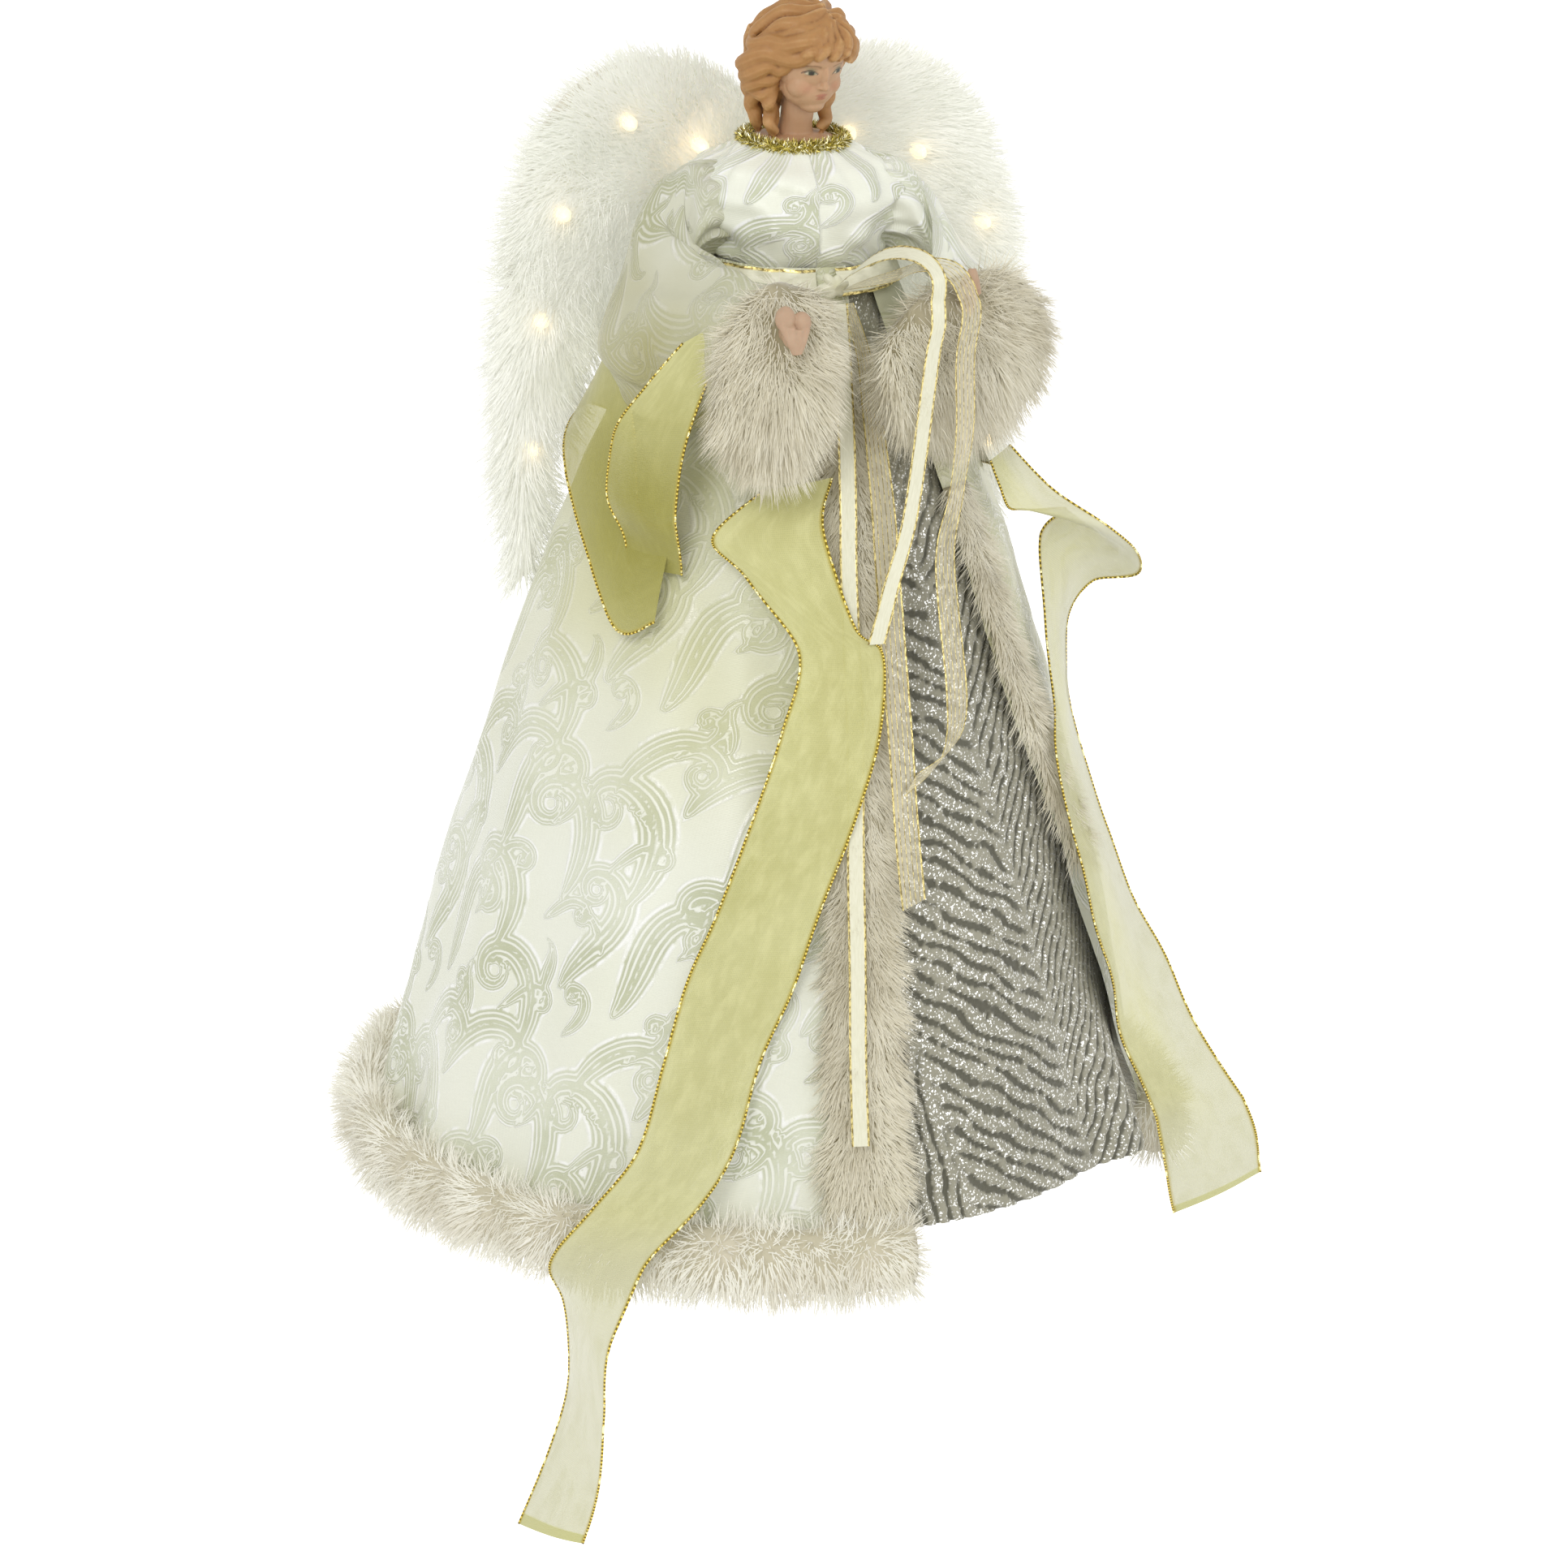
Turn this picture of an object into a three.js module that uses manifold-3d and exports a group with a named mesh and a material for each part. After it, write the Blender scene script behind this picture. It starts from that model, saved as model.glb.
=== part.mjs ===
// Angel tree topper: a fabric angel on a hollow card cone that drops over the top shoot of a tree.
// Millimetres, +Z up, the angel faces -Y, the origin is at the middle of the cone's open bottom.
// Right and left are the angel's own, so the angel's right arm is at -X.

import * as THREE from 'three';
import { mergeVertices } from 'three/addons/utils/BufferGeometryUtils.js';
import Module from 'manifold-3d';

const wasm = await Module();
wasm.setup();

// Driving dimensions

const clearance = 0.3;
const cutOverrun = 4;

const coneBaseRadius = 120;
const coneTopRadius = 27;
const coneHeight = 284;
const coneWall = 2;

const waistRise = 17;
const waistHeight = coneHeight + waistRise;
const hemSpread = 11;
const robeHemRadius = coneBaseRadius + hemSpread;
const waistSpread = 4.05;
const robeWaistRadius = coneTopRadius + waistSpread;
const robeHemHeight = 8;
const robeFoldDepth = 2.6;
const clothWall = 1.6;
const skirtWaistGap = 0.4;
const skirtHemGap = 4.2;
const skirtHemDrop = 2;
const skirtCornerFlare = 11;
const skirtCornerHeight = 56;

const furTrimWidth = 32;
const furTrimThickness = 9;
const hemFurHeight = 27;
const hemFurThickness = 19;

const torsoRadius = 27;
const plugDepth = 12;
const bustRise = 34;
const neckHeight = waistHeight + bustRise;
const neckRadius = 8.5;
const shoulderHalfWidth = 28;
const chestDepth = 32;
const bodiceSeamGap = 0.6;
const dowelDiameter = 6;
const dowelLength = 44;

const headRise = 50;
const crownHeight = neckHeight + headRise;
const headWidth = 37;
const headDepth = 40;

const pivotRise = 15;
const pivotHeight = waistHeight + pivotRise;
const pivotSetback = 4;
const armWireDiameter = 3;
const armWireGrip = 9;

const rightArmReach = 72;
const rightArmSpread = 27;
const rightArmDrop = 36;
const rightMouthHalfWidth = 16;
const rightMouthHalfHeight = 23;
const leftArmReach = 42;
const leftArmSpread = 16.4;
const leftArmDrop = 40;
const leftMouthHalfWidth = 40;
const leftMouthHalfHeight = 19;
const sleeveCapRadius = 12.5;
const sleeveWall = 1.2;
const cuffFurThickness = 11;
const handLength = 19;
const handWidth = 13;
const handThickness = 9;

const collarRadius = 17.5;
const collarThickness = 5;
const waistBandWidth = 8;
const waistBandWall = 1;

const wingSpan = 88;
const wingTopRise = 60;
const wingRise = 181;
const wingTopHeight = waistHeight + wingTopRise;
const wingTipHeight = wingTopHeight - wingRise;
const wingSetback = 38;
const wingBackingWall = 1.6;
const wingFrontLayer = 7;
const wingBackLayer = 6;
const bracketWidth = 26;
const bracketHeight = 25;

const bulbDiameter = 5;
const bulbLength = 11;
const socketDiameter = 6.4;
const socketLength = 9;
const socketTail = 1.4;
const leadDiameter = 2.2;

const shawlWidth = 38;
const shawlThickness = 1;
const satinWidth = 6;
const satinThickness = 0.7;
const sheerWidth = 9;
const sheerThickness = 0.9;

// Colours and finishes

function finish(color, roughness, metalness = 0) {
  return new THREE.MeshStandardMaterial({ color, roughness, metalness, side: THREE.DoubleSide });
}

const card = finish(0xe9e4d8, 0.85);
const foam = finish(0xf2f0ea, 0.9);
const wood = finish(0xcaa878, 0.7);
const bisque = finish(0xdcb498, 0.55);
const handBisque = finish(0xc9a091, 0.6);
const wireSteel = finish(0xd8d8d4, 0.4, 0.8);
const silverCloth = finish(0xb0aca4, 0.55, 0.2);
const brocade = finish(0xebeadb, 0.5);
const fur = finish(0xe9dfd3, 0.95);
const feather = finish(0xf3f6f5, 0.9);
const tinsel = finish(0xc9b25c, 0.35, 0.7);
const satin = finish(0xf0e8cc, 0.35);
const sheer = finish(0xe2d6bd, 0.5);
const organza = finish(0xcfca8f, 0.5);
const leadCover = finish(0xe6e6dc, 0.6);
const socketPlastic = finish(0xeeeee6, 0.5);
const warmGlass = finish(0xffe2a8, 0.15);

const topper = new THREE.Group();

// Closed bodies from points

function closedGeometry(geometry) {
  const bare = geometry.clone();
  bare.deleteAttribute('normal');
  bare.deleteAttribute('uv');
  const merged = mergeVertices(bare, clearance / 1000);
  const place = merged.attributes.position;
  const index = merged.index.array;
  const corner = [new THREE.Vector3(), new THREE.Vector3(), new THREE.Vector3()];
  let volume = 0;
  for (let i = 0; i < index.length; i += 3) {
    corner.forEach((point, k) => point.fromBufferAttribute(place, index[i + k]));
    volume += corner[0].dot(corner[1].clone().cross(corner[2]));
  }
  if (volume < 0) {
    for (let i = 0; i < index.length; i += 3) {
      [index[i + 1], index[i + 2]] = [index[i + 2], index[i + 1]];
    }
  }
  merged.computeVertexNormals();
  return merged;
}

function addPart(name, geometry, material) {
  const mesh = new THREE.Mesh(closedGeometry(geometry), material);
  mesh.name = name;
  topper.add(mesh);
  return mesh;
}

function geometryFrom(points, faces) {
  const geometry = new THREE.BufferGeometry();
  geometry.setAttribute('position', new THREE.Float32BufferAttribute(points.flatMap((p) => p.toArray()), 3));
  geometry.setIndex(faces.flat());
  return geometry;
}

// A body between two grids of points, one on each face of a sheet. The columns may close into a ring.
function sheetBody(front, back, ring = false) {
  const rows = front.length;
  const columns = front[0].length;
  const points = [...front.flat(), ...back.flat()];
  const faces = [];
  const at = (side, i, j) => side * rows * columns + i * columns + (j % columns);
  const quad = (a, b, c, d) => faces.push([a, b, c], [a, c, d]);
  const spans = ring ? columns : columns - 1;
  for (let i = 0; i < rows - 1; i += 1) {
    for (let j = 0; j < spans; j += 1) {
      quad(at(0, i, j), at(0, i, j + 1), at(0, i + 1, j + 1), at(0, i + 1, j));
      quad(at(1, i, j), at(1, i + 1, j), at(1, i + 1, j + 1), at(1, i, j + 1));
    }
  }
  for (let j = 0; j < spans; j += 1) {
    quad(at(0, 0, j), at(1, 0, j), at(1, 0, j + 1), at(0, 0, j + 1));
    quad(at(0, rows - 1, j), at(0, rows - 1, j + 1), at(1, rows - 1, j + 1), at(1, rows - 1, j));
  }
  if (!ring) {
    for (let i = 0; i < rows - 1; i += 1) {
      quad(at(0, i, 0), at(0, i + 1, 0), at(1, i + 1, 0), at(1, i, 0));
      const end = columns - 1;
      quad(at(0, i, end), at(1, i, end), at(1, i + 1, end), at(0, i + 1, end));
    }
  }
  return geometryFrom(points, faces);
}

// A solid through closed rings of points, capped at both ends or joined end to end.
function ringBody(rings, endless = false) {
  const sides = rings[0].length;
  const points = rings.flat();
  const faces = [];
  const last = endless ? rings.length : rings.length - 1;
  for (let i = 0; i < last; i += 1) {
    const next = (i + 1) % rings.length;
    for (let j = 0; j < sides; j += 1) {
      const k = (j + 1) % sides;
      faces.push([i * sides + j, i * sides + k, next * sides + k]);
      faces.push([i * sides + j, next * sides + k, next * sides + j]);
    }
  }
  if (!endless) {
    [rings[0], rings[rings.length - 1]].forEach((ring, end) => {
      const middle = ring.reduce((sum, p) => sum.add(p), new THREE.Vector3()).divideScalar(sides);
      points.push(middle);
      const start = end * (rings.length - 1) * sides;
      for (let j = 0; j < sides; j += 1) {
        const k = (j + 1) % sides;
        const pair = end ? [start + j, start + k] : [start + k, start + j];
        faces.push([...pair, points.length - 1]);
      }
    });
  }
  return geometryFrom(points, faces);
}

function turned(profile, segments) {
  const outline = profile.map(([radius, height]) => new THREE.Vector2(radius, height));
  const geometry = new THREE.LatheGeometry(outline, segments);
  geometry.rotateX(Math.PI / 2);
  return geometry;
}

function solidFrom(geometry) {
  const closed = closedGeometry(geometry);
  const vertProperties = new Float32Array(closed.attributes.position.array);
  const triVerts = new Uint32Array(closed.index.array);
  return new wasm.Manifold(new wasm.Mesh({ numProp: 3, vertProperties, triVerts }));
}

function geometryOf(solid) {
  const mesh = solid.getMesh();
  const geometry = new THREE.BufferGeometry();
  geometry.setAttribute('position', new THREE.BufferAttribute(new Float32Array(mesh.vertProperties), 3));
  geometry.setIndex(new THREE.BufferAttribute(new Uint32Array(mesh.triVerts), 1));
  return geometry;
}

// A round bar along X, for a cross bore or a wire's end
function crossBar(radius, from, to, y, z, sides = 12) {
  const bar = new THREE.CylinderGeometry(radius, radius, Math.abs(to - from), sides);
  bar.rotateZ(Math.PI / 2);
  bar.translate((from + to) / 2, y, z);
  return bar;
}

function uprightBar(radius, bottom, top, x, y, sides = 12) {
  const bar = new THREE.CylinderGeometry(radius, radius, top - bottom, sides);
  bar.rotateX(Math.PI / 2);
  bar.translate(x, y, (bottom + top) / 2);
  return bar;
}

function egg(halfX, halfY, halfZ, x, y, z, across = 12, down = 8) {
  const ball = new THREE.SphereGeometry(1, across, down);
  ball.rotateX(Math.PI / 2);
  ball.scale(halfX, halfY, halfZ);
  ball.translate(x, y, z);
  return ball;
}

function interpolate(table, x) {
  if (x <= table[0][0]) {
    return table[0][1];
  }
  for (let i = 1; i < table.length; i += 1) {
    if (x <= table[i][0]) {
      const t = (x - table[i - 1][0]) / (table[i][0] - table[i - 1][0]);
      return table[i - 1][1] + t * (table[i][1] - table[i - 1][1]);
    }
  }
  return table[table.length - 1][1];
}

// Angles run from the front, -Y, towards the angel's left, +X.
function polar(degrees, radius, height) {
  const angle = THREE.MathUtils.degToRad(degrees);
  return new THREE.Vector3(radius * Math.sin(angle), -radius * Math.cos(angle), height);
}

// The robe's outline: each row is a share of the waist height and a share of the spread from waist to hem.
const robeOutlineShares = [
  [0, 1], [0.168, 0.8847], [0.336, 0.7602], [0.503, 0.6147], [0.671, 0.4548],
  [0.755, 0.3552], [0.839, 0.2346], [0.923, 0.1101], [1, 0],
];

function robeRadius(height) {
  const spread = interpolate(robeOutlineShares, height / waistHeight);
  return THREE.MathUtils.lerp(robeWaistRadius, robeHemRadius, spread);
}

// Skirt and robe share the heights at which the outline bends, so that they stay clear of each other.
function clothHeights(bottom) {
  return robeOutlineShares.map(([share]) => Math.max(bottom, share * waistHeight));
}

function hemShare(height) {
  return THREE.MathUtils.clamp(1 - height / waistHeight, 0, 1);
}

// Cone that drops over the tree's top shoot

function buildCone() {
  const profile = [
    [coneBaseRadius, 0], [coneTopRadius, coneHeight], [coneTopRadius - coneWall, coneHeight],
    [coneBaseRadius - coneWall, 0], [coneBaseRadius, 0],
  ];
  addPart('cone_base', turned(profile, 32), card);
}

// Bust core with its plug in the cone, and the dowel that carries the head

const neckFoot = neckHeight - bodiceSeamGap;
const bustShares = [
  [0, 1, 1], [0.33, 1, 1], [0.345, 0.93, 0.93], [0.64, 0.88, 0.88], [0.82, 0.74, 0.7], [1, 0.48, 0.48],
];
const armBoreRadius = armWireDiameter / 2 + clearance;
const dowelBottom = neckHeight - dowelLength / 2;

function ovalRing(halfX, halfY, x, y, height, sides) {
  return Array.from({ length: sides }, (_, k) => {
    const angle = (k / sides) * 2 * Math.PI;
    return new THREE.Vector3(x + halfX * Math.sin(angle), y - halfY * Math.cos(angle), height);
  });
}

function buildTorso() {
  const seat = coneHeight + clearance;
  const rings = bustShares.map(([rise, wide, deep]) => {
    const height = THREE.MathUtils.lerp(seat, neckFoot, rise);
    return ovalRing(torsoRadius * wide, torsoRadius * deep, 0, 0, height, 28);
  });
  const plugRadius = coneTopRadius - coneWall - clearance;
  const plug = uprightBar(plugRadius, coneHeight - plugDepth, seat + plugDepth / 2, 0, 0, 28);
  const side = torsoRadius + cutOverrun;
  const bore = crossBar(armBoreRadius, -side, side, -pivotSetback, pivotHeight);
  const holeRadius = dowelDiameter / 2 + clearance;
  const dowelHole = uprightBar(holeRadius, dowelBottom - clearance, neckHeight + cutOverrun, 0, 0, 14);
  const body = solidFrom(ringBody(rings)).add(solidFrom(plug));
  addPart('torso_core', geometryOf(body.subtract(solidFrom(bore)).subtract(solidFrom(dowelHole))), foam);
  const dowel = uprightBar(dowelDiameter / 2, dowelBottom, dowelBottom + dowelLength, 0, 0, 12);
  addPart('neck_dowel', dowel, wood);
}

// Bisque head: shoulder plate, neck, face and moulded wavy hair in one casting.
// The head is turned a little to the angel's left and bowed.

const headCentreHeight = crownHeight - headWidth * 0.6;
const headForward = headDepth * 0.12;
const headTurnDegrees = 26;
const faceShares = { wide: 0.42, deep: 0.44, high: 0.54, forward: 0.12 };
const hairLumpShares = [
  [0, 0.1, 0.1, 0.5, 0.5, 0.52], [-0.38, -0.05, -0.1, 0.17, 0.3, 0.36], [0.36, 0, -0.12, 0.15, 0.28, 0.34],
  [-0.34, -0.12, -0.4, 0.16, 0.2, 0.17], [0.3, -0.02, -0.4, 0.14, 0.2, 0.17],
  [0, 0.3, -0.3, 0.34, 0.22, 0.4], [-0.02, -0.34, 0.3, 0.32, 0.16, 0.14],
];

function buildHead() {
  const plateBottom = neckFoot + clearance;
  const plate = turned([
    [0, plateBottom], [collarRadius - collarThickness, plateBottom],
    [neckRadius, plateBottom + collarThickness], [neckRadius, headCentreHeight], [0, headCentreHeight],
  ], 20);
  const face = egg(
    headWidth * faceShares.wide, headDepth * faceShares.deep, headWidth * faceShares.high,
    0, -headDepth * faceShares.forward, 0, 16, 12,
  );
  let head = solidFrom(face);
  hairLumpShares.forEach(([x, y, z, a, b, c]) => {
    const halves = [headWidth * a, headDepth * b, headWidth * c];
    const lump = egg(...halves, headWidth * x, headDepth * y, headWidth * z);
    head = head.add(solidFrom(lump));
  });
  const placed = geometryOf(head);
  placed.rotateZ(THREE.MathUtils.degToRad(headTurnDegrees));
  placed.translate(0, -headForward, headCentreHeight);
  const holeTop = dowelBottom + dowelLength + clearance;
  const hole = uprightBar(dowelDiameter / 2 + clearance, plateBottom - cutOverrun, holeTop, 0, 0, 14);
  const casting = solidFrom(placed).add(solidFrom(plate)).subtract(solidFrom(hole));
  addPart('head', geometryOf(casting), bisque);
}

// Silver underskirt, with the front corner on the angel's left pulled out at the hem

const cornerDegrees = 56;
const cornerSpreadDegrees = 7;

function skirtRadius(height, degrees = 180) {
  const gap = THREE.MathUtils.lerp(skirtWaistGap, skirtHemGap, hemShare(height));
  const nearCorner = Math.exp(-(((degrees - cornerDegrees) / cornerSpreadDegrees) ** 2));
  const low = Math.max(0, 1 - height / skirtCornerHeight);
  return robeRadius(height) - clothWall - gap + skirtCornerFlare * nearCorner * low;
}

function buildUnderskirt() {
  const columns = 46;
  const heights = [-skirtHemDrop, ...clothHeights(0)];
  const grid = (inset) => heights.map((height) => {
    return Array.from({ length: columns }, (_, j) => {
      const degrees = (j / columns) * 360;
      return polar(degrees, skirtRadius(height, degrees) - inset, height);
    });
  });
  addPart('underskirt', sheetBody(grid(0), grid(clothWall), true), silverCloth);
}

// Brocade robe, open at the front: its near edge lies at the middle and its far edge is drawn back.
// Each row of the edge tables is a height share and an angle in degrees.

const farEdgeTable = [[0, 70], [0.1, 62], [0.24, 56], [0.38, 50], [0.53, 42], [0.66, 38], [1, 34]];
const nearEdgeOffset = 10;
const foldAngles = [-24, -46, -74, -100, -128, -160, -196, -228, -252, -276];
const foldSpreadDegrees = 9;
const edgeFadeDegrees = 9;
const robeColumns = 50;

function farEdgeDegrees(height) {
  return interpolate(farEdgeTable, height / waistHeight);
}

function nearEdgeDegrees(height) {
  return 360 + THREE.MathUtils.radToDeg(Math.asin(nearEdgeOffset / robeRadius(height)));
}

function robeSurface(height, degrees) {
  const inward = Math.min(degrees - farEdgeDegrees(height), nearEdgeDegrees(height) - degrees);
  const flat = THREE.MathUtils.radToDeg(furTrimWidth / robeRadius(height));
  const calm = (inward - flat) / edgeFadeDegrees;
  const turn = degrees - 360;
  const fold = foldAngles.reduce((sum, at) => sum + Math.exp(-(((turn - at) / foldSpreadDegrees) ** 2)), 0);
  const depth = robeFoldDepth * hemShare(height) * THREE.MathUtils.clamp(calm, 0, 1);
  return robeRadius(height) + depth * (2 * fold - 1);
}

function robeGrid(columns, inset) {
  return clothHeights(robeHemHeight).map((height) => {
    return Array.from({ length: columns + 1 }, (_, j) => {
      const degrees = THREE.MathUtils.lerp(farEdgeDegrees(height), nearEdgeDegrees(height), j / columns);
      return polar(degrees, robeSurface(height, degrees) - inset, height);
    });
  });
}

function buildRobe() {
  addPart('robe', sheetBody(robeGrid(robeColumns, 0), robeGrid(robeColumns, clothWall)), brocade);
}

// Fur: a hanging roll round the hem and a flat strip up each front edge

function furRoll(centre, outward, halfThick, halfHigh, sides = 8) {
  return Array.from({ length: sides }, (_, k) => {
    const angle = (k / sides) * 2 * Math.PI;
    const side = outward.clone().multiplyScalar(halfThick * Math.cos(angle));
    return centre.clone().add(side).add(new THREE.Vector3(0, 0, halfHigh * Math.sin(angle)));
  });
}

function buildHemFur() {
  const steps = 40;
  const halfHigh = hemFurHeight / 2;
  const height = robeHemHeight - clearance - halfHigh;
  const radius = robeRadius(robeHemHeight) - clothWall + hemFurThickness / 2;
  const rings = Array.from({ length: steps + 1 }, (_, i) => {
    const degrees = THREE.MathUtils.lerp(farEdgeDegrees(0), nearEdgeDegrees(0), i / steps);
    return furRoll(polar(degrees, radius, height), polar(degrees, 1, 0), hemFurThickness / 2, halfHigh);
  });
  addPart('robe_hem_fur', ringBody(rings), fur);
}

const trimSlack = 0.5;
const stripTopTaperShare = 0.62;
const nearStripOffsetDegrees = -6;
const farStripOffsetDegrees = 6;

// The facets of the robe's cloth bulge at their corners, so what lies on it starts from this radius.
function robeTop(height) {
  const facet = THREE.MathUtils.degToRad(360 / robeColumns / 2);
  return (robeRadius(height) + trimSlack) / Math.cos(facet);
}

function stripTaper(height) {
  return THREE.MathUtils.lerp(1, stripTopTaperShare, height / waistHeight);
}

function buildFrontFur(name, middleDegrees, lowShare, topShare, fullness) {
  const sectionShares = [
    [-0.5, 0], [-0.36, 0.7], [-0.12, 1], [0.12, 1], [0.36, 0.7], [0.5, 0], [0.17, 0], [-0.17, 0],
  ];
  const heights = clothHeights(robeHemHeight + trimSlack)
    .filter((height) => height >= waistHeight * lowShare && height <= waistHeight * topShare);
  const rings = heights.map((height) => sectionShares.map(([across, out]) => {
    const size = stripTaper(height) * fullness;
    const reach = THREE.MathUtils.radToDeg((across * furTrimWidth * size) / robeTop(height));
    return polar(middleDegrees(height) + reach, robeTop(height) + out * furTrimThickness * size, height);
  }));
  addPart(name, ringBody(rings), fur);
}

function buildFrontFurs() {
  const nearMiddle = (height) => nearEdgeDegrees(height) + nearStripOffsetDegrees;
  const farMiddle = (height) => farEdgeDegrees(height) + farStripOffsetDegrees;
  buildFrontFur('robe_front_fur_right', nearMiddle, 0, 0.93, 1);
  buildFrontFur('robe_front_fur_left', farMiddle, 0.33, 0.8, 0.7);
}

// Bodice over the core, with a cross bore at each shoulder for the arm wire.
// Each row is a share of the bodice's rise, its half width, its front and its back.

const bodiceShares = [
  [0, 0.98, 0.9, 0.98], [0.2, 0.99, 1.02, 0.99], [0.45, 0.985, 1, 0.96], [0.68, 0.95, 0.88, 0.88],
  [0.86, 0.84, 0.74, 0.76], [1, 0.64, 0.6, 0.6],
];

function bodiceRing(row, inset) {
  const [rise, wide, front, back] = row;
  const sides = 32;
  const height = THREE.MathUtils.lerp(waistHeight + clearance * 2, neckHeight + clearance, rise);
  return Array.from({ length: sides }, (_, k) => {
    const angle = (k / sides) * 2 * Math.PI;
    const deep = Math.cos(angle) > 0 ? chestDepth * front : shoulderHalfWidth * back;
    const x = (shoulderHalfWidth * wide - inset) * Math.sin(angle);
    return new THREE.Vector3(x, -(deep - inset) * Math.cos(angle), height);
  });
}

function buildBodice() {
  const outer = bodiceShares.map((row) => bodiceRing(row, 0));
  const inner = bodiceShares.map((row) => bodiceRing(row, sleeveWall));
  const side = shoulderHalfWidth + cutOverrun;
  const bore = crossBar(armBoreRadius + clearance, -side, side, -pivotSetback, pivotHeight);
  const shell = solidFrom(sheetBody(outer, inner, true)).subtract(solidFrom(bore));
  addPart('bodice', geometryOf(shell), brocade);
}

// Arms: wire, sleeve, fur cuff and hand. Each turns on the wire's straight end in the core's cross bore.
// Rows of the sleeve tables: outward, forward and downward shares of the sleeve's centre,
// shares of the half width and the half height, the lean outwards and the turn outwards in degrees.

const rightArm = {
  side: -1, reach: rightArmReach, halfWidth: rightMouthHalfWidth, halfHeight: rightMouthHalfHeight,
  spread: rightArmSpread, drop: rightArmDrop,
  sleeveShares: [
    [0.3, 0, 0.06, 0.86, 0.58, 6, 84], [0.72, 0.03, 0.42, 0.86, 0.98, 16, 66],
    [0.86, 0.16, 0.86, 0.86, 1.16, 18, 38], [0.66, 0.42, 1.0, 0.9, 1.18, 14, 14],
    [0.3, 0.72, 1.0, 0.95, 1.08, 8, -4], [-0.06, 1.0, 1.0, 1, 1, 3, -12],
  ],
  wireShares: [[0.3, 0, 0.04], [0.72, 0.05, 0.44], [0.6, 0.42, 0.78]],
  wristShares: [-0.02, 1.05, 0.7],
  fingerShares: [-0.09, 1.3, 0.44],
};

const leftArm = {
  side: 1, reach: leftArmReach, halfWidth: leftMouthHalfWidth, halfHeight: leftMouthHalfHeight,
  spread: leftArmSpread, drop: leftArmDrop,
  sleeveShares: [
    [0.5, 0.02, 0.06, 0.33, 0.64, 6, 84], [1.2, 0.1, 0.35, 0.4, 0.95, 12, 70],
    [1.5, 0.34, 0.72, 0.56, 1.1, 14, 55], [1.3, 0.66, 0.96, 0.8, 1.08, 6, 42], [1, 1, 1, 1, 1, 0, 37],
  ],
  wireShares: [[0.5, 0.02, 0.06], [1.15, 0.2, 0.4], [1.15, 0.7, 0.74]],
  wristShares: [0.9, 1.29, 0.68],
  fingerShares: [0.85, 1.53, 0.3],
};

const sleeveRootX = shoulderHalfWidth + clearance * 2;

// A place on an arm, from shares of its spread, its reach and its drop
function armPoint(arm, [out, forward, down]) {
  return new THREE.Vector3(
    arm.side * (sleeveRootX + arm.spread * out),
    -pivotSetback - arm.reach * forward,
    pivotHeight - arm.drop * down,
  );
}

function sleeveFrame(arm, row) {
  const [out, forward, down, wide, high, lean, turn] = row;
  const centre = armPoint(arm, [out, forward, down]);
  const turnAngle = THREE.MathUtils.degToRad(turn);
  const leanAngle = THREE.MathUtils.degToRad(lean);
  const across = new THREE.Vector3(arm.side * Math.cos(turnAngle), Math.sin(turnAngle), 0);
  const upright = new THREE.Vector3(-arm.side * Math.sin(leanAngle), 0, Math.cos(leanAngle));
  return { centre, across, upright, halfWide: arm.halfWidth * wide, halfHigh: arm.halfHeight * high };
}

function frameRing(frame, inset, sides) {
  return Array.from({ length: sides }, (_, k) => {
    const angle = (k / sides) * 2 * Math.PI;
    return frame.centre.clone()
      .add(frame.across.clone().multiplyScalar((frame.halfWide - inset) * Math.sin(angle)))
      .add(frame.upright.clone().multiplyScalar((frame.halfHigh - inset) * Math.cos(angle)));
  });
}

function buildSleeve(name, arm) {
  const sides = 20;
  const cap = {
    centre: armPoint(arm, [0, 0, 0]), across: new THREE.Vector3(0, 1, 0), upright: new THREE.Vector3(0, 0, 1),
    halfWide: sleeveCapRadius, halfHigh: sleeveCapRadius,
  };
  const frames = [cap, ...arm.sleeveShares.map((row) => sleeveFrame(arm, row))];
  const outer = frames.map((frame) => frameRing(frame, 0, sides));
  const inner = frames.map((frame) => frameRing(frame, sleeveWall, sides));
  addPart(name, sheetBody(outer, inner, true), brocade);
}

const cuffOverlapShare = 0.2;
const cuffSlack = 0.8;

function buildCuff(name, arm) {
  const steps = 24;
  const sides = 8;
  const frame = sleeveFrame(arm, arm.sleeveShares[arm.sleeveShares.length - 1]);
  const forward = new THREE.Vector3().crossVectors(frame.across, frame.upright).normalize();
  forward.multiplyScalar(-Math.sign(forward.y));
  const half = cuffFurThickness / 2;
  const centre = frame.centre.clone().add(forward.clone().multiplyScalar(half * cuffOverlapShare));
  const rings = Array.from({ length: steps }, (_, k) => {
    const angle = (k / steps) * 2 * Math.PI;
    const out = frame.across.clone().multiplyScalar(Math.sin(angle))
      .add(frame.upright.clone().multiplyScalar(Math.cos(angle)));
    const middle = centre.clone()
      .add(frame.across.clone().multiplyScalar((frame.halfWide + half + cuffSlack) * Math.sin(angle)))
      .add(frame.upright.clone().multiplyScalar((frame.halfHigh + half + cuffSlack) * Math.cos(angle)));
    return Array.from({ length: sides }, (_unused, m) => {
      const around = (m / sides) * 2 * Math.PI;
      return middle.clone()
        .add(out.clone().multiplyScalar(half * Math.cos(around)))
        .add(forward.clone().multiplyScalar(half * Math.sin(around)));
    });
  });
  addPart(name, ringBody(rings, true), fur);
}

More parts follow.
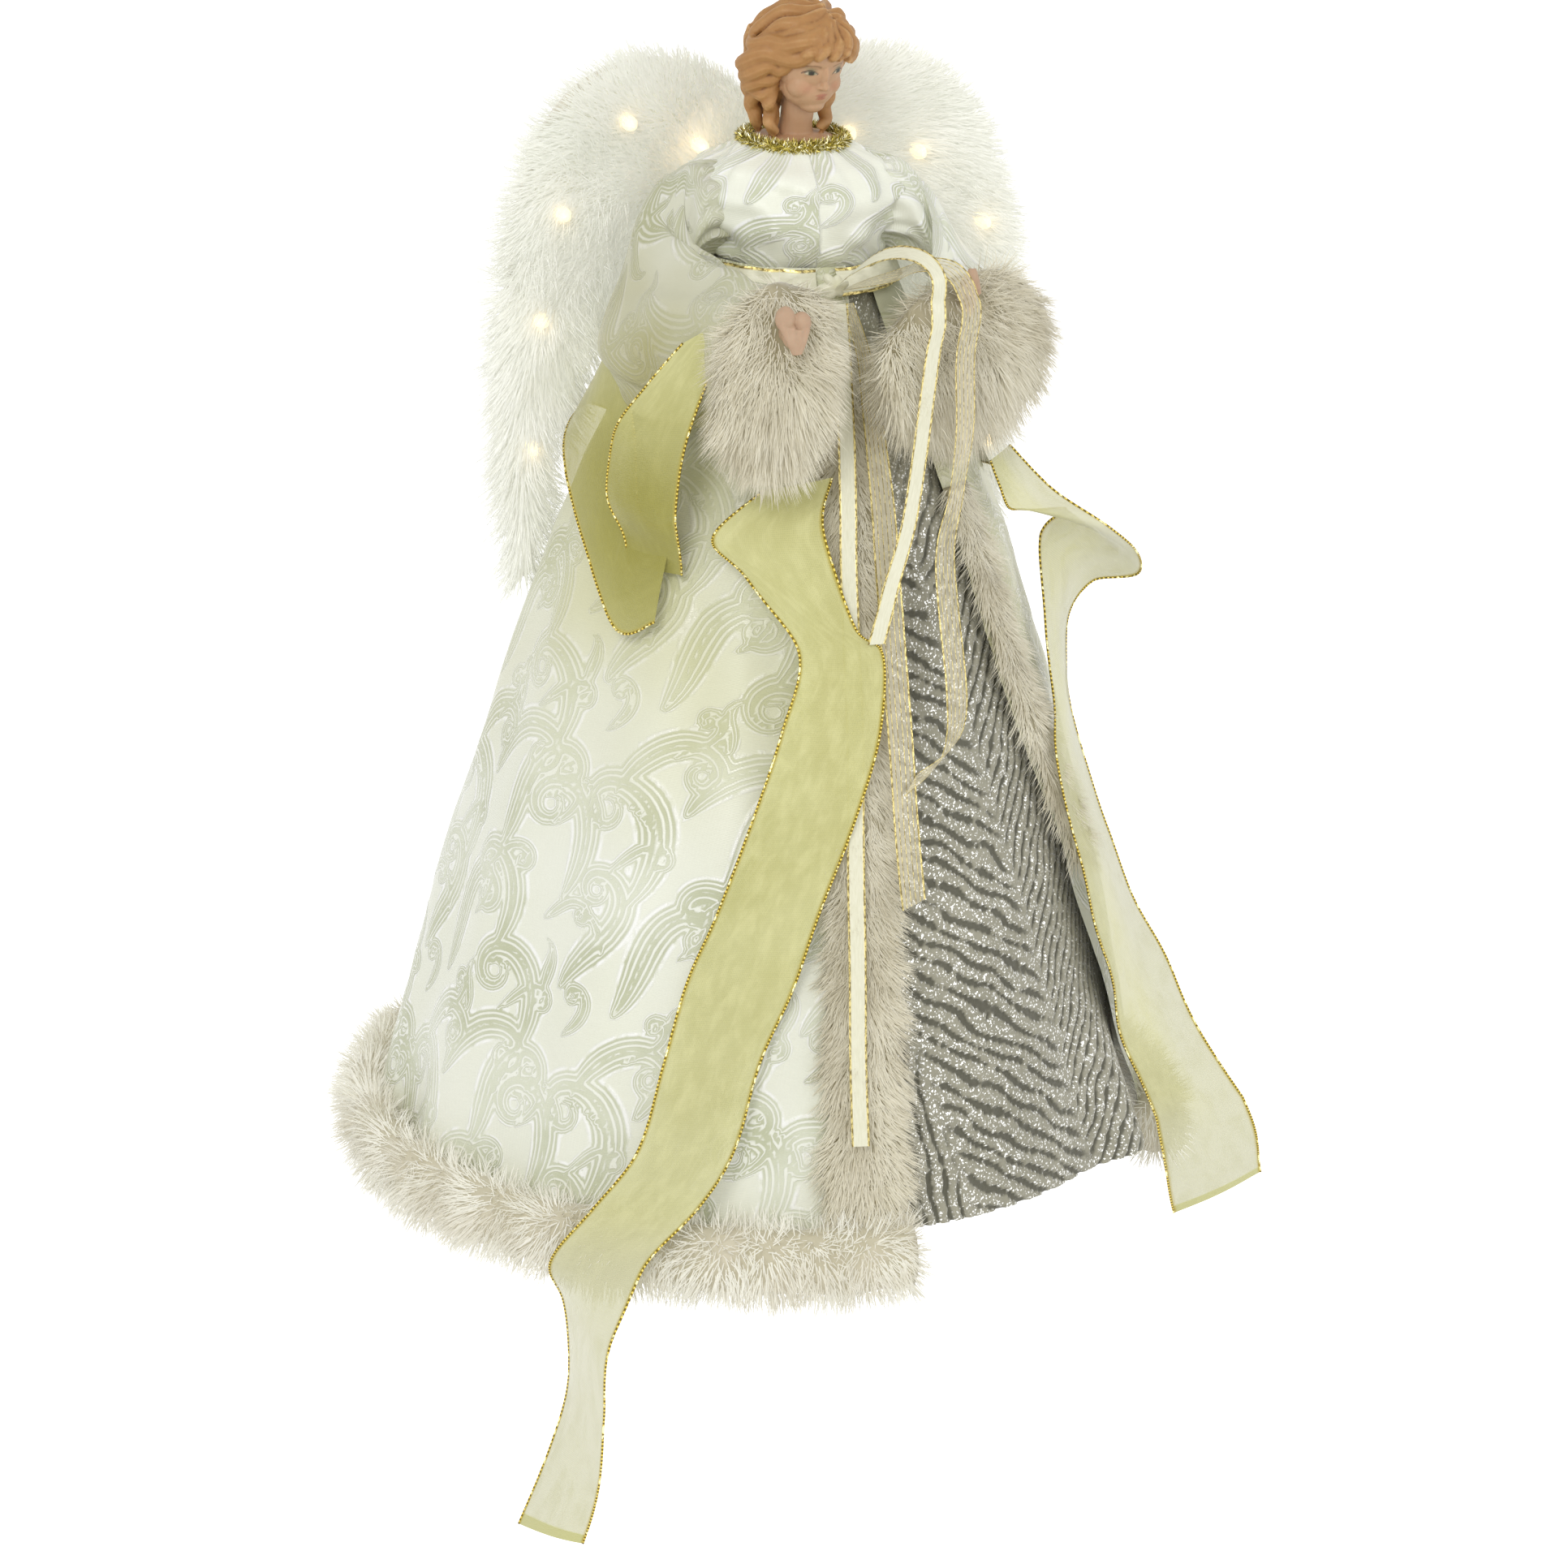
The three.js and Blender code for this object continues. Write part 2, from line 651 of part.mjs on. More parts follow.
// A round bar along a curve: its rings stay square to the curve and turn as little as they can.
function tubeAlong(points, diameter, steps, sides) {
  const curve = new THREE.CatmullRomCurve3(points, false, 'centripetal');
  const frames = curve.computeFrenetFrames(steps, false);
  return ringBody(curve.getSpacedPoints(steps).map((spot, i) => Array.from({ length: sides }, (_, k) => {
    const angle = (k / sides) * 2 * Math.PI;
    return spot.clone()
      .addScaledVector(frames.normals[i], (diameter / 2) * Math.cos(angle))
      .addScaledVector(frames.binormals[i], (diameter / 2) * Math.sin(angle));
  })));
}

function buildArmWire(name, arm) {
  const inner = new THREE.Vector3(arm.side * (shoulderHalfWidth - armWireGrip), -pivotSetback, pivotHeight);
  const root = armPoint(arm, [0, 0, 0]);
  const wrist = armPoint(arm, arm.wristShares);
  const back = wrist.clone().sub(armPoint(arm, arm.fingerShares)).normalize();
  const bends = arm.wireShares.map((shares) => armPoint(arm, shares));
  const straight = [handLength, clearance * 2].map((far) => wrist.clone().addScaledVector(back, far));
  const points = [inner, inner.clone().lerp(root, 0.5), root, ...bends, ...straight];
  addPart(name, tubeAlong(points, armWireDiameter, 22, 8), wireSteel);
}

// Small bisque hand: half sizes along it are shares of its width and thickness.
const handShares = [
  [0, 0.34, 0.46], [0.3, 0.4, 0.5], [0.5, 0.5, 0.5], [0.75, 0.42, 0.42], [0.92, 0.28, 0.3], [1, 0.12, 0.14],
];
const thumbShares = { along: 0.5, aside: 0.42, above: 0.2, long: 0.28, thick: 0.16 };

function buildHand(name, arm) {
  const wrist = armPoint(arm, arm.wristShares);
  const along = armPoint(arm, arm.fingerShares).sub(wrist).normalize();
  const across = new THREE.Vector3(1, 0, 0).addScaledVector(along, -along.x).normalize();
  const upward = new THREE.Vector3().crossVectors(across, along).normalize();
  const rings = handShares.map(([far, wide, thick]) => Array.from({ length: 12 }, (_, k) => {
    const angle = (k / 12) * 2 * Math.PI;
    return wrist.clone()
      .addScaledVector(along, far * handLength)
      .addScaledVector(across, wide * handWidth * Math.cos(angle))
      .addScaledVector(upward, thick * handThickness * Math.sin(angle));
  }));
  const thumb = egg(
    handWidth * thumbShares.thick, handLength * thumbShares.long, handWidth * thumbShares.thick,
    0, 0, 0, 8, 6,
  );
  const seat = wrist.clone()
    .addScaledVector(along, handLength * thumbShares.along)
    .addScaledVector(across, -arm.side * handWidth * thumbShares.aside)
    .addScaledVector(upward, handThickness * thumbShares.above);
  thumb.translate(seat.x, seat.y, seat.z);
  addPart(name, geometryOf(solidFrom(ringBody(rings)).add(solidFrom(thumb))), handBisque);
}

// Tinsel collar round the neck, and the satin ribbon round the waist with its knot

function buildCollar() {
  const height = neckHeight + clearance * 2 + collarThickness / 2;
  const ring = new THREE.TorusGeometry(collarRadius, collarThickness / 2, 8, 26);
  ring.translate(0, 0, height);
  addPart('collar_trim', ring, tinsel);
}

const bandTop = waistHeight - clearance;
const bandBottom = bandTop - waistBandWidth;
const knotHalfWidth = waistBandWidth * 0.6;
const knotX = 3;

function buildWaistBand() {
  const low = robeTop(bandBottom);
  const high = robeTop(bandTop);
  addPart('waist_band', turned([
    [low, bandBottom], [low + waistBandWall, bandBottom],
    [high + waistBandWall, bandTop], [high, bandTop], [low, bandBottom],
  ], 32), satin);
  const knotHalfDepth = knotHalfWidth * 0.7;
  const knot = egg(knotHalfWidth, knotHalfDepth, knotHalfWidth * 0.85, 0, 0, 0, 12, 8);
  const knotBack = (low + high) / 2 + waistBandWall + 2.5 * clearance;
  knot.translate(knotX, -knotBack - knotHalfDepth, (bandBottom + bandTop) / 2);
  addPart('waist_knot', knot, satin);
}

// Ribbons. Each row of a route is an angle, a share of the waist height, a stand-off from the robe
// as a share of the fur trim's thickness, a share of the ribbon's width, the lean of the width
// from level and its turn out of the robe. Angles are in degrees.

function smoothRow(rows, at) {
  const i = Math.min(Math.floor(at), rows.length - 2);
  const t = at - i;
  const pick = (k) => rows[THREE.MathUtils.clamp(k, 0, rows.length - 1)];
  return rows[0].map((_, c) => {
    const [a, b, d, e] = [pick(i - 1)[c], pick(i)[c], pick(i + 1)[c], pick(i + 2)[c]];
    const slopeIn = (d - a) / 2;
    const slopeOut = (e - b) / 2;
    const bend = 2 * (b - d) + slopeIn + slopeOut;
    return b + t * (slopeIn + t * (3 * (d - b) - 2 * slopeIn - slopeOut + t * bend));
  });
}

function ribbonPoint(row, width, across) {
  const [degrees, height, standOff, share, lean, turn] = row;
  const leanAngle = THREE.MathUtils.degToRad(lean);
  const turnAngle = THREE.MathUtils.degToRad(turn);
  const side = across * width * share;
  const level = height + side * Math.cos(turnAngle) * Math.sin(leanAngle);
  const radius = robeTop(level) + standOff;
  const sweep = THREE.MathUtils.radToDeg((side * Math.cos(turnAngle) * Math.cos(leanAngle)) / radius);
  return polar(degrees + sweep, radius + side * Math.sin(turnAngle), level);
}

function buildRibbon(name, shares, { width, thickness, material, columns }) {
  const perRow = 3;
  const rows = shares.map(([degrees, heightShare, standOffShare, widthShare, lean, turn]) => [
    degrees, heightShare * waistHeight, standOffShare * furTrimThickness, widthShare, lean, turn,
  ]);
  const count = (rows.length - 1) * perRow;
  const grid = Array.from({ length: count + 1 }, (_, i) => {
    const row = smoothRow(rows, i / perRow);
    return Array.from({ length: columns + 1 }, (_unused, j) => ribbonPoint(row, width, j / columns - 0.5));
  });
  const faceOf = (side) => grid.map((line, i) => line.map((point, j) => {
    const ahead = grid[Math.min(i + 1, count)][j].clone().sub(grid[Math.max(i - 1, 0)][j]);
    const across = line[Math.min(j + 1, columns)].clone().sub(line[Math.max(j - 1, 0)]);
    const normal = new THREE.Vector3().crossVectors(ahead, across).normalize();
    return point.clone().addScaledVector(normal, (side * thickness) / 2);
  }));
  addPart(name, sheetBody(faceOf(1), faceOf(-1)), material);
}

const shawlBackShares = [
  [-49, 0.72, 0.5, 0.3, 90, 0], [-62, 0.705, 0.3, 0.8, 90, 0], [-78, 0.705, 0.3, 1, 90, 0],
  [-104, 0.72, 0.25, 0.92, 90, 0], [-140, 0.745, 0.2, 0.9, 90, 0], [-180, 0.755, 0.2, 0.9, 90, 0],
  [-220, 0.765, 0.2, 0.9, 90, 0], [-256, 0.785, 0.25, 0.9, 90, 0], [-286, 0.8, 0.3, 0.7, 90, 0],
];
const shawlLoopShares = [
  [-57, 0.715, 0.56, 0.3, 0, 0], [-54, 0.79, 2, 0.62, 4, 0], [-54, 0.86, 3.6, 0.8, 8, 0],
  [-53, 0.935, 5, 0.8, 12, 0],
];
const shawlFrontShares = [
  [-13, 0.795, 1.2, 0.6, 10, 0], [-20, 0.745, 1.3, 0.95, 6, 0], [-12, 0.675, 1.3, 1, -22, 0],
  [-4, 0.625, 1.35, 0.75, -6, 0], [-6.5, 0.54, 1.2, 0.85, 0, 3], [-12, 0.44, 0.86, 0.88, 2, 10],
  [-17.5, 0.345, 0.6, 0.9, 6, 8], [-21.5, 0.265, 0.36, 0.92, 0, 0], [-25, 0.185, 0.38, 0.85, 8, 0],
  [-27.5, 0.1, 0.9, 0.86, 8, 0], [-31.5, 0.045, 2, 0.95, 8, 0], [-37, -0.02, 2.3, 0.85, 4, 0],
  [-38.5, -0.09, 2.3, 0.9, 0, 38], [-38.5, -0.18, 2.3, 0.95, 0, 48], [-39.5, -0.26, 2.5, 1, 6, 40],
  [-42, -0.345, 2.9, 1, 14, 26],
];
const shawlSideShares = [
  [57, 0.79, 1.4, 0.3, 20, 30], [59, 0.74, 1.8, 0.55, 10, 45], [63, 0.712, 2.8, 0.75, -30, 55],
  [77, 0.665, 3.6, 0.8, -80, 40], [78, 0.64, 2, 0.8, -50, 30], [70, 0.585, 1.1, 0.75, -10, 10],
  [63, 0.52, 0.76, 0.8, 0, 0], [58, 0.465, 0.7, 0.85, 0, 0], [58, 0.375, 0.72, 0.9, 0, 0],
  [60, 0.28, 0.9, 0.95, 0, 6], [64, 0.19, 0.9, 1, 0, 13], [66, 0.09, 1.1, 1, 0, 18],
  [68, 0.01, 2.2, 1, 0, 6], [70, -0.06, 2.3, 1, 10, 8], [74, -0.13, 2.6, 1, 24, 20],
];
const satinCenterShares = [
  [5, 0.97, 0.95, 1, 0, 0], [2, 0.86, 1.05, 1, 0, 0], [-1, 0.72, 1.05, 1, 0, 0], [-1.5, 0.55, 0.95, 1, 0, 0],
  [-2.5, 0.38, 1.05, 1, 0, 0], [-3, 0.22, 1.1, 1, 0, 0], [-3, 0.11, 1.15, 1, 0, 0],
];
const sheerCenterShares = [
  [10, 0.968, 0.7, 0.5, 0, 0], [12, 0.92, 0.95, 0.6, 0, 0], [11, 0.86, 1, 0.8, 0, 0],
  [8.5, 0.72, 1, 1, 0, 0], [7.5, 0.6, 1.05, 1, 0, 0], [7, 0.46, 1.1, 1, 0, 0], [7, 0.36, 1.2, 1, 20, 0],
];
const satinSideUpperShares = [
  [6, 0.99, 1.07, 1, 30, 0], [12, 1.035, 3.3, 1, 50, 0], [15.5, 1.045, 5, 1, 30, 0],
  [17.5, 1.025, 5.9, 1, 0, 0], [17.5, 0.98, 5.7, 1, 0, 0], [17, 0.94, 4.9, 1, 0, 0],
  [15.4, 0.83, 2.9, 1, 0, 0], [12, 0.75, 1.9, 1, 0, 0],
];
const satinSideLowerShares = [
  [11.2, 0.742, 1.85, 1, 0, 0], [7, 0.69, 1.6, 1, 0, 0], [3, 0.635, 1.47, 1, 0, 0],
];
const sheerSideUpperShares = [
  [10, 0.985, 0.93, 0.5, 20, 0], [17, 1.01, 3.2, 0.8, 40, 0], [20, 1.03, 4.6, 0.9, 30, 0],
  [24.5, 1.025, 5.4, 1, 10, 0],
  [27.5, 0.99, 5.7, 1, 0, 0], [27.2, 0.93, 4.6, 1, 0, 0], [28, 0.85, 3.3, 1, 0, 0],
  [29, 0.785, 1.9, 0.8, 0, 0],
];
const sheerSideLowerShares = [
  [28.5, 0.776, 1.85, 0.8, 0, 0], [24, 0.73, 1.4, 0.9, 0, 0], [23, 0.67, 0.9, 1, 0, 0],
  [22, 0.58, 0.9, 1, 0, 0], [17, 0.52, 1.3, 1, 30, 0], [8, 0.485, 1.24, 1, 50, 0],
];

function buildRibbons() {
  const shawl = { width: shawlWidth, thickness: shawlThickness, material: organza, columns: 3 };
  const tie = { width: satinWidth, thickness: satinThickness, material: satin, columns: 1 };
  const net = { width: sheerWidth, thickness: sheerThickness, material: sheer, columns: 1 };
  buildRibbon('shawl_back', shawlBackShares, shawl);
  buildRibbon('shawl_loop_right', shawlLoopShares, shawl);
  buildRibbon('shawl_front_tail', shawlFrontShares, shawl);
  buildRibbon('shawl_side_tail', shawlSideShares, shawl);
  buildRibbon('satin_tail_center', satinCenterShares, tie);
  buildRibbon('sheer_tail_center', sheerCenterShares, net);
  buildRibbon('satin_side_upper', satinSideUpperShares, tie);
  buildRibbon('satin_side_lower', satinSideLowerShares, tie);
  buildRibbon('sheer_side_upper', sheerSideUpperShares, net);
  buildRibbon('sheer_side_lower', sheerSideLowerShares, net);
}

// Wings: a card backing between two feather layers, glued to the back by a card tab.
// Outline points are shares of the span and of the wing's height above its tip.

const wingOutlineShares = [
  [0.05, 0.9], [0.2, 0.955], [0.45, 1], [0.68, 0.97], [0.85, 0.89], [0.95, 0.77], [1, 0.62], [1, 0.42],
  [0.99, 0.24], [0.96, 0.1], [0.91, 0], [0.87, 0.09], [0.85, 0.22], [0.75, 0.36], [0.6, 0.47],
  [0.42, 0.56], [0.24, 0.64], [0.06, 0.72],
];
const backingShare = 0.95;
const backingMiddleShares = [0.6, 0.56];
const lampShares = {
  right: [[0.273, 0.824], [0.557, 0.873], [0.807, 0.707], [0.886, 0.508], [0.912, 0.265]],
  left: [[0.307, 0.84], [0.591, 0.801], [0.864, 0.663], [0.92, 0.442], [0.912, 0.24]],
};
const wingSides = [{ name: 'right', side: -1 }, { name: 'left', side: 1 }];
const backingFront = wingSetback;
const backingBack = wingSetback + wingBackingWall;
const socketBack = backingBack + socketTail;
const leadLine = socketBack + clearance + leadDiameter / 2;

function wingPlace(wing, [out, up]) {
  return new THREE.Vector2(wing.side * wingSpan * out, wingTipHeight + wingRise * up);
}

function wingOutline(wing, shrink) {
  const [midOut, midUp] = backingMiddleShares;
  const shares = wingOutlineShares.map(([out, up]) => [
    midOut + (out - midOut) * shrink, midUp + (up - midUp) * shrink,
  ]);
  const curve = new THREE.SplineCurve([...shares, shares[0]].map((share) => wingPlace(wing, share)));
  return curve.getPoints(46).slice(0, -1);
}

// A flat plate standing across Y from its front to its back
function plateFrom(outline, holes, front, back) {
  const shape = new THREE.Shape(outline);
  holes.forEach(({ middle, radius }) => {
    const hole = new THREE.Path();
    hole.absarc(middle.x, middle.y, radius, 0, 2 * Math.PI, false);
    shape.holes.push(new THREE.Path(hole.getPoints(8).slice(0, -1)));
  });
  const plate = new THREE.ExtrudeGeometry(shape, { depth: back - front, bevelEnabled: false });
  plate.rotateX(Math.PI / 2);
  plate.translate(0, back, 0);
  return plate;
}

function leadRoute() {
  const right = lampShares.right.map((share) => wingPlace(wingSides[0], share)).reverse();
  const left = lampShares.left.map((share) => wingPlace(wingSides[1], share));
  return [...right, ...left].map((place) => new THREE.Vector3(place.x, leadLine, place.y));
}

function channelOutline(halfWidth) {
  const curve = new THREE.CatmullRomCurve3(leadRoute(), false, 'centripetal');
  const inner = curve.getPoints(40);
  const beyond = (end, near) => end.clone().add(end.clone().sub(near).setLength(2 * halfWidth));
  const spots = [beyond(inner[0], inner[1]), ...inner, beyond(inner[40], inner[39])];
  const edge = (sign) => spots.map((spot, i) => {
    const along = spots[Math.min(i + 1, 42)].clone().sub(spots[Math.max(i - 1, 0)]).normalize();
    return new THREE.Vector2(spot.x - sign * along.z * halfWidth, spot.z + sign * along.x * halfWidth);
  });
  return [...edge(1), ...edge(-1).reverse()];
}

function buildWings() {
  const holeRadius = socketDiameter / 2 + clearance;
  const bracketFront = shoulderHalfWidth * bodiceShares[1][3] + clearance;
  const tabBottom = waistHeight + clearance * 10;
  const tab = new THREE.BoxGeometry(bracketWidth, backingFront - clearance - bracketFront, bracketHeight);
  tab.translate(0, (backingFront - clearance + bracketFront) / 2, tabBottom + bracketHeight / 2);
  addPart('wing_bracket', tab, card);
  const tabRoom = new THREE.BoxGeometry(
    bracketWidth + 2 * clearance, 2 * (backingFront - bracketFront), bracketHeight + 2 * clearance,
  );
  tabRoom.translate(0, backingFront, tabBottom + bracketHeight / 2);
  const channelHalf = holeRadius + clearance;
  const channelBack = leadLine + leadDiameter / 2 + clearance;
  const channel = plateFrom(channelOutline(channelHalf), [], backingBack - cutOverrun, channelBack);
  wingSides.forEach((wing) => {
    const lamps = lampShares[wing.name].map((share) => wingPlace(wing, share));
    const holes = lamps.map((middle) => ({ middle, radius: holeRadius }));
    const outline = wingOutline(wing, 1);
    const backing = plateFrom(wingOutline(wing, backingShare), holes, backingFront, backingBack);
    addPart(`wing_backing_${wing.name}`, backing, card);
    const layerBack = backingFront - clearance;
    const frontPlate = plateFrom(outline, holes, layerBack - wingFrontLayer, layerBack);
    const front = solidFrom(frontPlate).subtract(solidFrom(tabRoom));
    addPart(`wing_feathers_front_${wing.name}`, geometryOf(front), feather);
    const layerFront = backingBack + clearance;
    const backPlate = plateFrom(outline, [], layerFront, layerFront + wingBackLayer);
    const back = solidFrom(backPlate).subtract(solidFrom(channel));
    addPart(`wing_feathers_back_${wing.name}`, geometryOf(back), feather);
  });
}

// Ten push-in mini lights on one lead that runs behind the backings

const lampProfileShares = [[0, 0], [0.3, 0], [0.5, 0.06], [0.5, 0.6], [0.36, 0.85], [0.12, 1], [0, 1]];

function buildLights() {
  let number = 1;
  wingSides.forEach((wing) => {
    lampShares[wing.name].forEach((share) => {
      const place = wingPlace(wing, share);
      const socket = new THREE.CylinderGeometry(socketDiameter / 2, socketDiameter / 2, socketLength, 10);
      socket.translate(place.x, socketBack - socketLength / 2, place.y);
      addPart(`socket_${number}`, socket, socketPlastic);
      const outline = lampProfileShares.map(([wide, far]) => {
        return new THREE.Vector2(wide * bulbDiameter, far * bulbLength);
      });
      const bulb = new THREE.LatheGeometry(outline, 10);
      bulb.rotateX(Math.PI);
      bulb.translate(place.x, socketBack - socketLength - clearance, place.y);
      addPart(`bulb_${number}`, bulb, warmGlass);
      number += 1;
    });
  });
  addPart('light_lead', tubeAlong(leadRoute(), leadDiameter, 48, 6), leadCover);
}

topper.name = 'angel_tree_topper';
buildCone();
buildTorso();
buildHead();
buildUnderskirt();
buildRobe();
buildHemFur();
buildFrontFurs();
buildBodice();
buildSleeve('sleeve_right', rightArm);
buildSleeve('sleeve_left', leftArm);
buildCuff('cuff_fur_right', rightArm);
buildCuff('cuff_fur_left', leftArm);
buildArmWire('arm_wire_right', rightArm);
buildArmWire('arm_wire_left', leftArm);
buildHand('hand_right', rightArm);
buildHand('hand_left', leftArm);
buildCollar();
buildWaistBand();
buildRibbons();
buildWings();
buildLights();

export default topper;
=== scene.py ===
import math

import bmesh
import bpy
import numpy as np
from mathutils import Matrix, Vector


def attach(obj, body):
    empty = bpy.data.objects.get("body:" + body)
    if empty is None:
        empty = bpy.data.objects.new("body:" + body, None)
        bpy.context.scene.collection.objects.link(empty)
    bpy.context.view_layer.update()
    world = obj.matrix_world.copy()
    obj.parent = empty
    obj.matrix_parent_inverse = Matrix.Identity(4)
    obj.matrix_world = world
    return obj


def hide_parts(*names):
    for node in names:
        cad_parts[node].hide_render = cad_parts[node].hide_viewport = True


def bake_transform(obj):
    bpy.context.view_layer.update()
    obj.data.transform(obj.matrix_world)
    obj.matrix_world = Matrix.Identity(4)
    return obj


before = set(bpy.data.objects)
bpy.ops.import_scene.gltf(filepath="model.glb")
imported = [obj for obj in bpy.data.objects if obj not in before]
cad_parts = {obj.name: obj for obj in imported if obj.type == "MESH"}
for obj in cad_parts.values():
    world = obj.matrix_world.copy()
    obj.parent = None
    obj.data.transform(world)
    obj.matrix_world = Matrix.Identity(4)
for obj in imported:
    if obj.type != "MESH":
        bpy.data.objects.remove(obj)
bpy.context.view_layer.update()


# Camera, floor and light. The angel is seen from its right and a little from above, floating over a
# pale floor. The floor is far enough down that its shadow stays clear of the ribbon tails.

view_turn, view_rise, view_roll = (math.radians(angle) for angle in (-17, 19, 1.85))
view_aim = Vector((0.003586, -0.001096, 0.112))
view_distance = 1.98
film_width = 36
lens_per_frame = 7128 / 1932  # the photograph's focal length and width, both in its own pixels
floor_level = -0.34

back = Vector((math.sin(view_turn) * math.cos(view_rise), -math.cos(view_turn) * math.cos(view_rise),
               math.sin(view_rise)))
level = Vector((math.cos(view_turn), math.sin(view_turn), 0))
plumb = back.cross(level)
right = level * math.cos(view_roll) + plumb * math.sin(view_roll)
upward = plumb * math.cos(view_roll) - level * math.sin(view_roll)


def new_object(name, data):
    made = bpy.data.objects.new(name, data)
    bpy.context.scene.collection.objects.link(made)
    return made


camera = new_object("camera", bpy.data.cameras.new("camera"))
camera.data.sensor_width = film_width
camera.data.lens = film_width * lens_per_frame
camera.data.clip_end = 60
camera.matrix_world = Matrix([[*row, at] for row, at in zip(
    zip(right, upward, back), view_aim + back * view_distance)] + [[0, 0, 0, 1]])
bpy.context.scene.camera = camera
bpy.context.scene.view_settings.view_transform = "Standard"


def dye(red, green, blue):
    """A colour as it looks on screen, 0 to 255, turned to the values that a shader takes."""
    return tuple((c / 255 / 12.92 if c <= 10 else ((c / 255 + 0.055) / 1.055) ** 2.4)
                 for c in (red, green, blue)) + (1.0,)


def plug(tree, value, socket):
    if isinstance(value, bpy.types.NodeSocket):
        tree.links.new(value, socket)
    else:
        socket.default_value = value


def add_node(tree, kind, inputs=None, **settings):
    made = tree.nodes.new(kind)
    for setting, value in settings.items():
        setattr(made, setting, value)
    for socket, value in (inputs or {}).items():
        plug(tree, value, made.inputs[socket])
    return made


class Finish:
    """A material under way, with its Principled shader and short ways to add what colours it."""

    def __init__(self, name, **shader_values):
        self.material = bpy.data.materials.new(name)
        self.material.use_nodes = True
        self.tree = self.material.node_tree
        self.shader = self.tree.nodes["Principled BSDF"]
        for socket, value in shader_values.items():
            self.set(socket.replace("_", " "), value)

    def set(self, socket, value):
        plug(self.tree, value, self.shader.inputs[socket])
        return self

    def add(self, kind, inputs=None, **settings):
        return add_node(self.tree, kind, inputs, **settings)

    def place(self):
        return self.add("ShaderNodeTexCoord").outputs["Object"]

    def cloth_place(self):
        return self.add("ShaderNodeUVMap", uv_map="cloth").outputs["UV"]

    def mark(self, name):
        return self.add("ShaderNodeAttribute", attribute_name=name).outputs["Fac"]

    def sum(self, operation, *values, clamp=False):
        return self.add("ShaderNodeMath", dict(enumerate(values)), operation=operation,
                        use_clamp=clamp).outputs[0]

    def scaled(self, vector, sizes):
        return self.add("ShaderNodeVectorMath", {0: vector, 1: sizes}, operation="MULTIPLY").outputs[0]

    def split(self, vector):
        return self.add("ShaderNodeSeparateXYZ", {0: vector}).outputs

    def noise(self, vector, scale, detail=3.0, roughness=0.55, distortion=0.0):
        return self.add("ShaderNodeTexNoise", {"Vector": vector, "Scale": scale, "Detail": detail,
                        "Roughness": roughness, "Distortion": distortion}).outputs["Fac"]

    def specks(self, vector, scale):
        return self.add("ShaderNodeTexVoronoi", {"Vector": vector, "Scale": scale}).outputs

    def fade(self, value, low, high, to_low=0.0, to_high=1.0):
        return self.add("ShaderNodeMapRange", {"Value": value, "From Min": low, "From Max": high,
                        "To Min": to_low, "To Max": to_high}, interpolation_type="SMOOTHSTEP").outputs[0]

    def mix(self, share, first, second):
        return self.add("ShaderNodeMix", {0: share, 6: first, 7: second}, data_type="RGBA").outputs[2]

    def relief(self, height, strength, depth):
        self.set("Normal", self.add("ShaderNodeBump", {"Height": height, "Strength": strength,
                                                       "Distance": depth}).outputs[0])


def in_sight(tree):
    """1 where a surface is seen, also in a mirror or through glass, and 0 where it only gives light."""
    rays = add_node(tree, "ShaderNodeLightPath").outputs
    seen = rays["Is Camera Ray"]
    for other in ("Is Glossy Ray", "Is Transmission Ray"):
        seen = add_node(tree, "ShaderNodeMath", {0: seen, 1: rays[other]}, operation="MAXIMUM").outputs[0]
    return seen


floor_finish = Finish("floor_paper", Roughness=0.9)
floor_paper = floor_finish.noise(floor_finish.place(), 3.0)
floor_finish.set("Base Color", floor_finish.mix(floor_paper, dye(246, 246, 246), dye(250, 250, 250)))
floor_finish.set("Emission Color", (1, 1, 1, 1))
floor_finish.set("Emission Strength", floor_finish.sum("MULTIPLY", in_sight(floor_finish.tree), 0.6))
bpy.ops.mesh.primitive_circle_add(vertices=96, radius=14, fill_type="NGON", location=(0, 0, 0))
floor = bpy.context.object
floor.name = "floor"
floor.data.transform(Matrix.Translation((0, 0, floor_level)))
floor.data.materials.append(floor_finish.material)

world = bpy.data.worlds.new("studio")
world.use_nodes = True
bpy.context.scene.world = world
world_tree = world.node_tree
world_level = add_node(world_tree, "ShaderNodeMapRange", {"Value": in_sight(world_tree),
                       "To Min": 0.7, "To Max": 1.0}).outputs[0]
world_ground = world_tree.nodes["Background"]
world_ground.inputs["Color"].default_value = (1, 1, 1, 1)
world_tree.links.new(world_level, world_ground.inputs["Strength"])

softboxes = [  # name, place, size, power
    ("softbox_key", (-1.5, -2.0, 1.9), 1.1, 27),
    ("softbox_fill", (1.9, -1.7, 0.9), 1.4, 10),
]
for box_name, spot, box_size, power in softboxes:
    lamp = bpy.data.lights.new(box_name, "AREA")
    lamp.shape, lamp.size, lamp.energy = "DISK", box_size, power
    softbox = new_object(box_name, lamp)
    softbox.location = spot
    softbox.rotation_euler = (Vector((0, 0, 0.16)) - Vector(spot)).to_track_quat("-Z", "Y").to_euler()


# Cone, core, dowel, arm wires and the wings' card. The cone is rolled white card that drops over the
# tree's top shoot; the foam core plugs into it and holds the dowel for the head and the arm wires.

def finish_nodes(names, finish):
    for name in names:
        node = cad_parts[name]
        node.data.materials.clear()
        node.data.materials.append(finish.material)


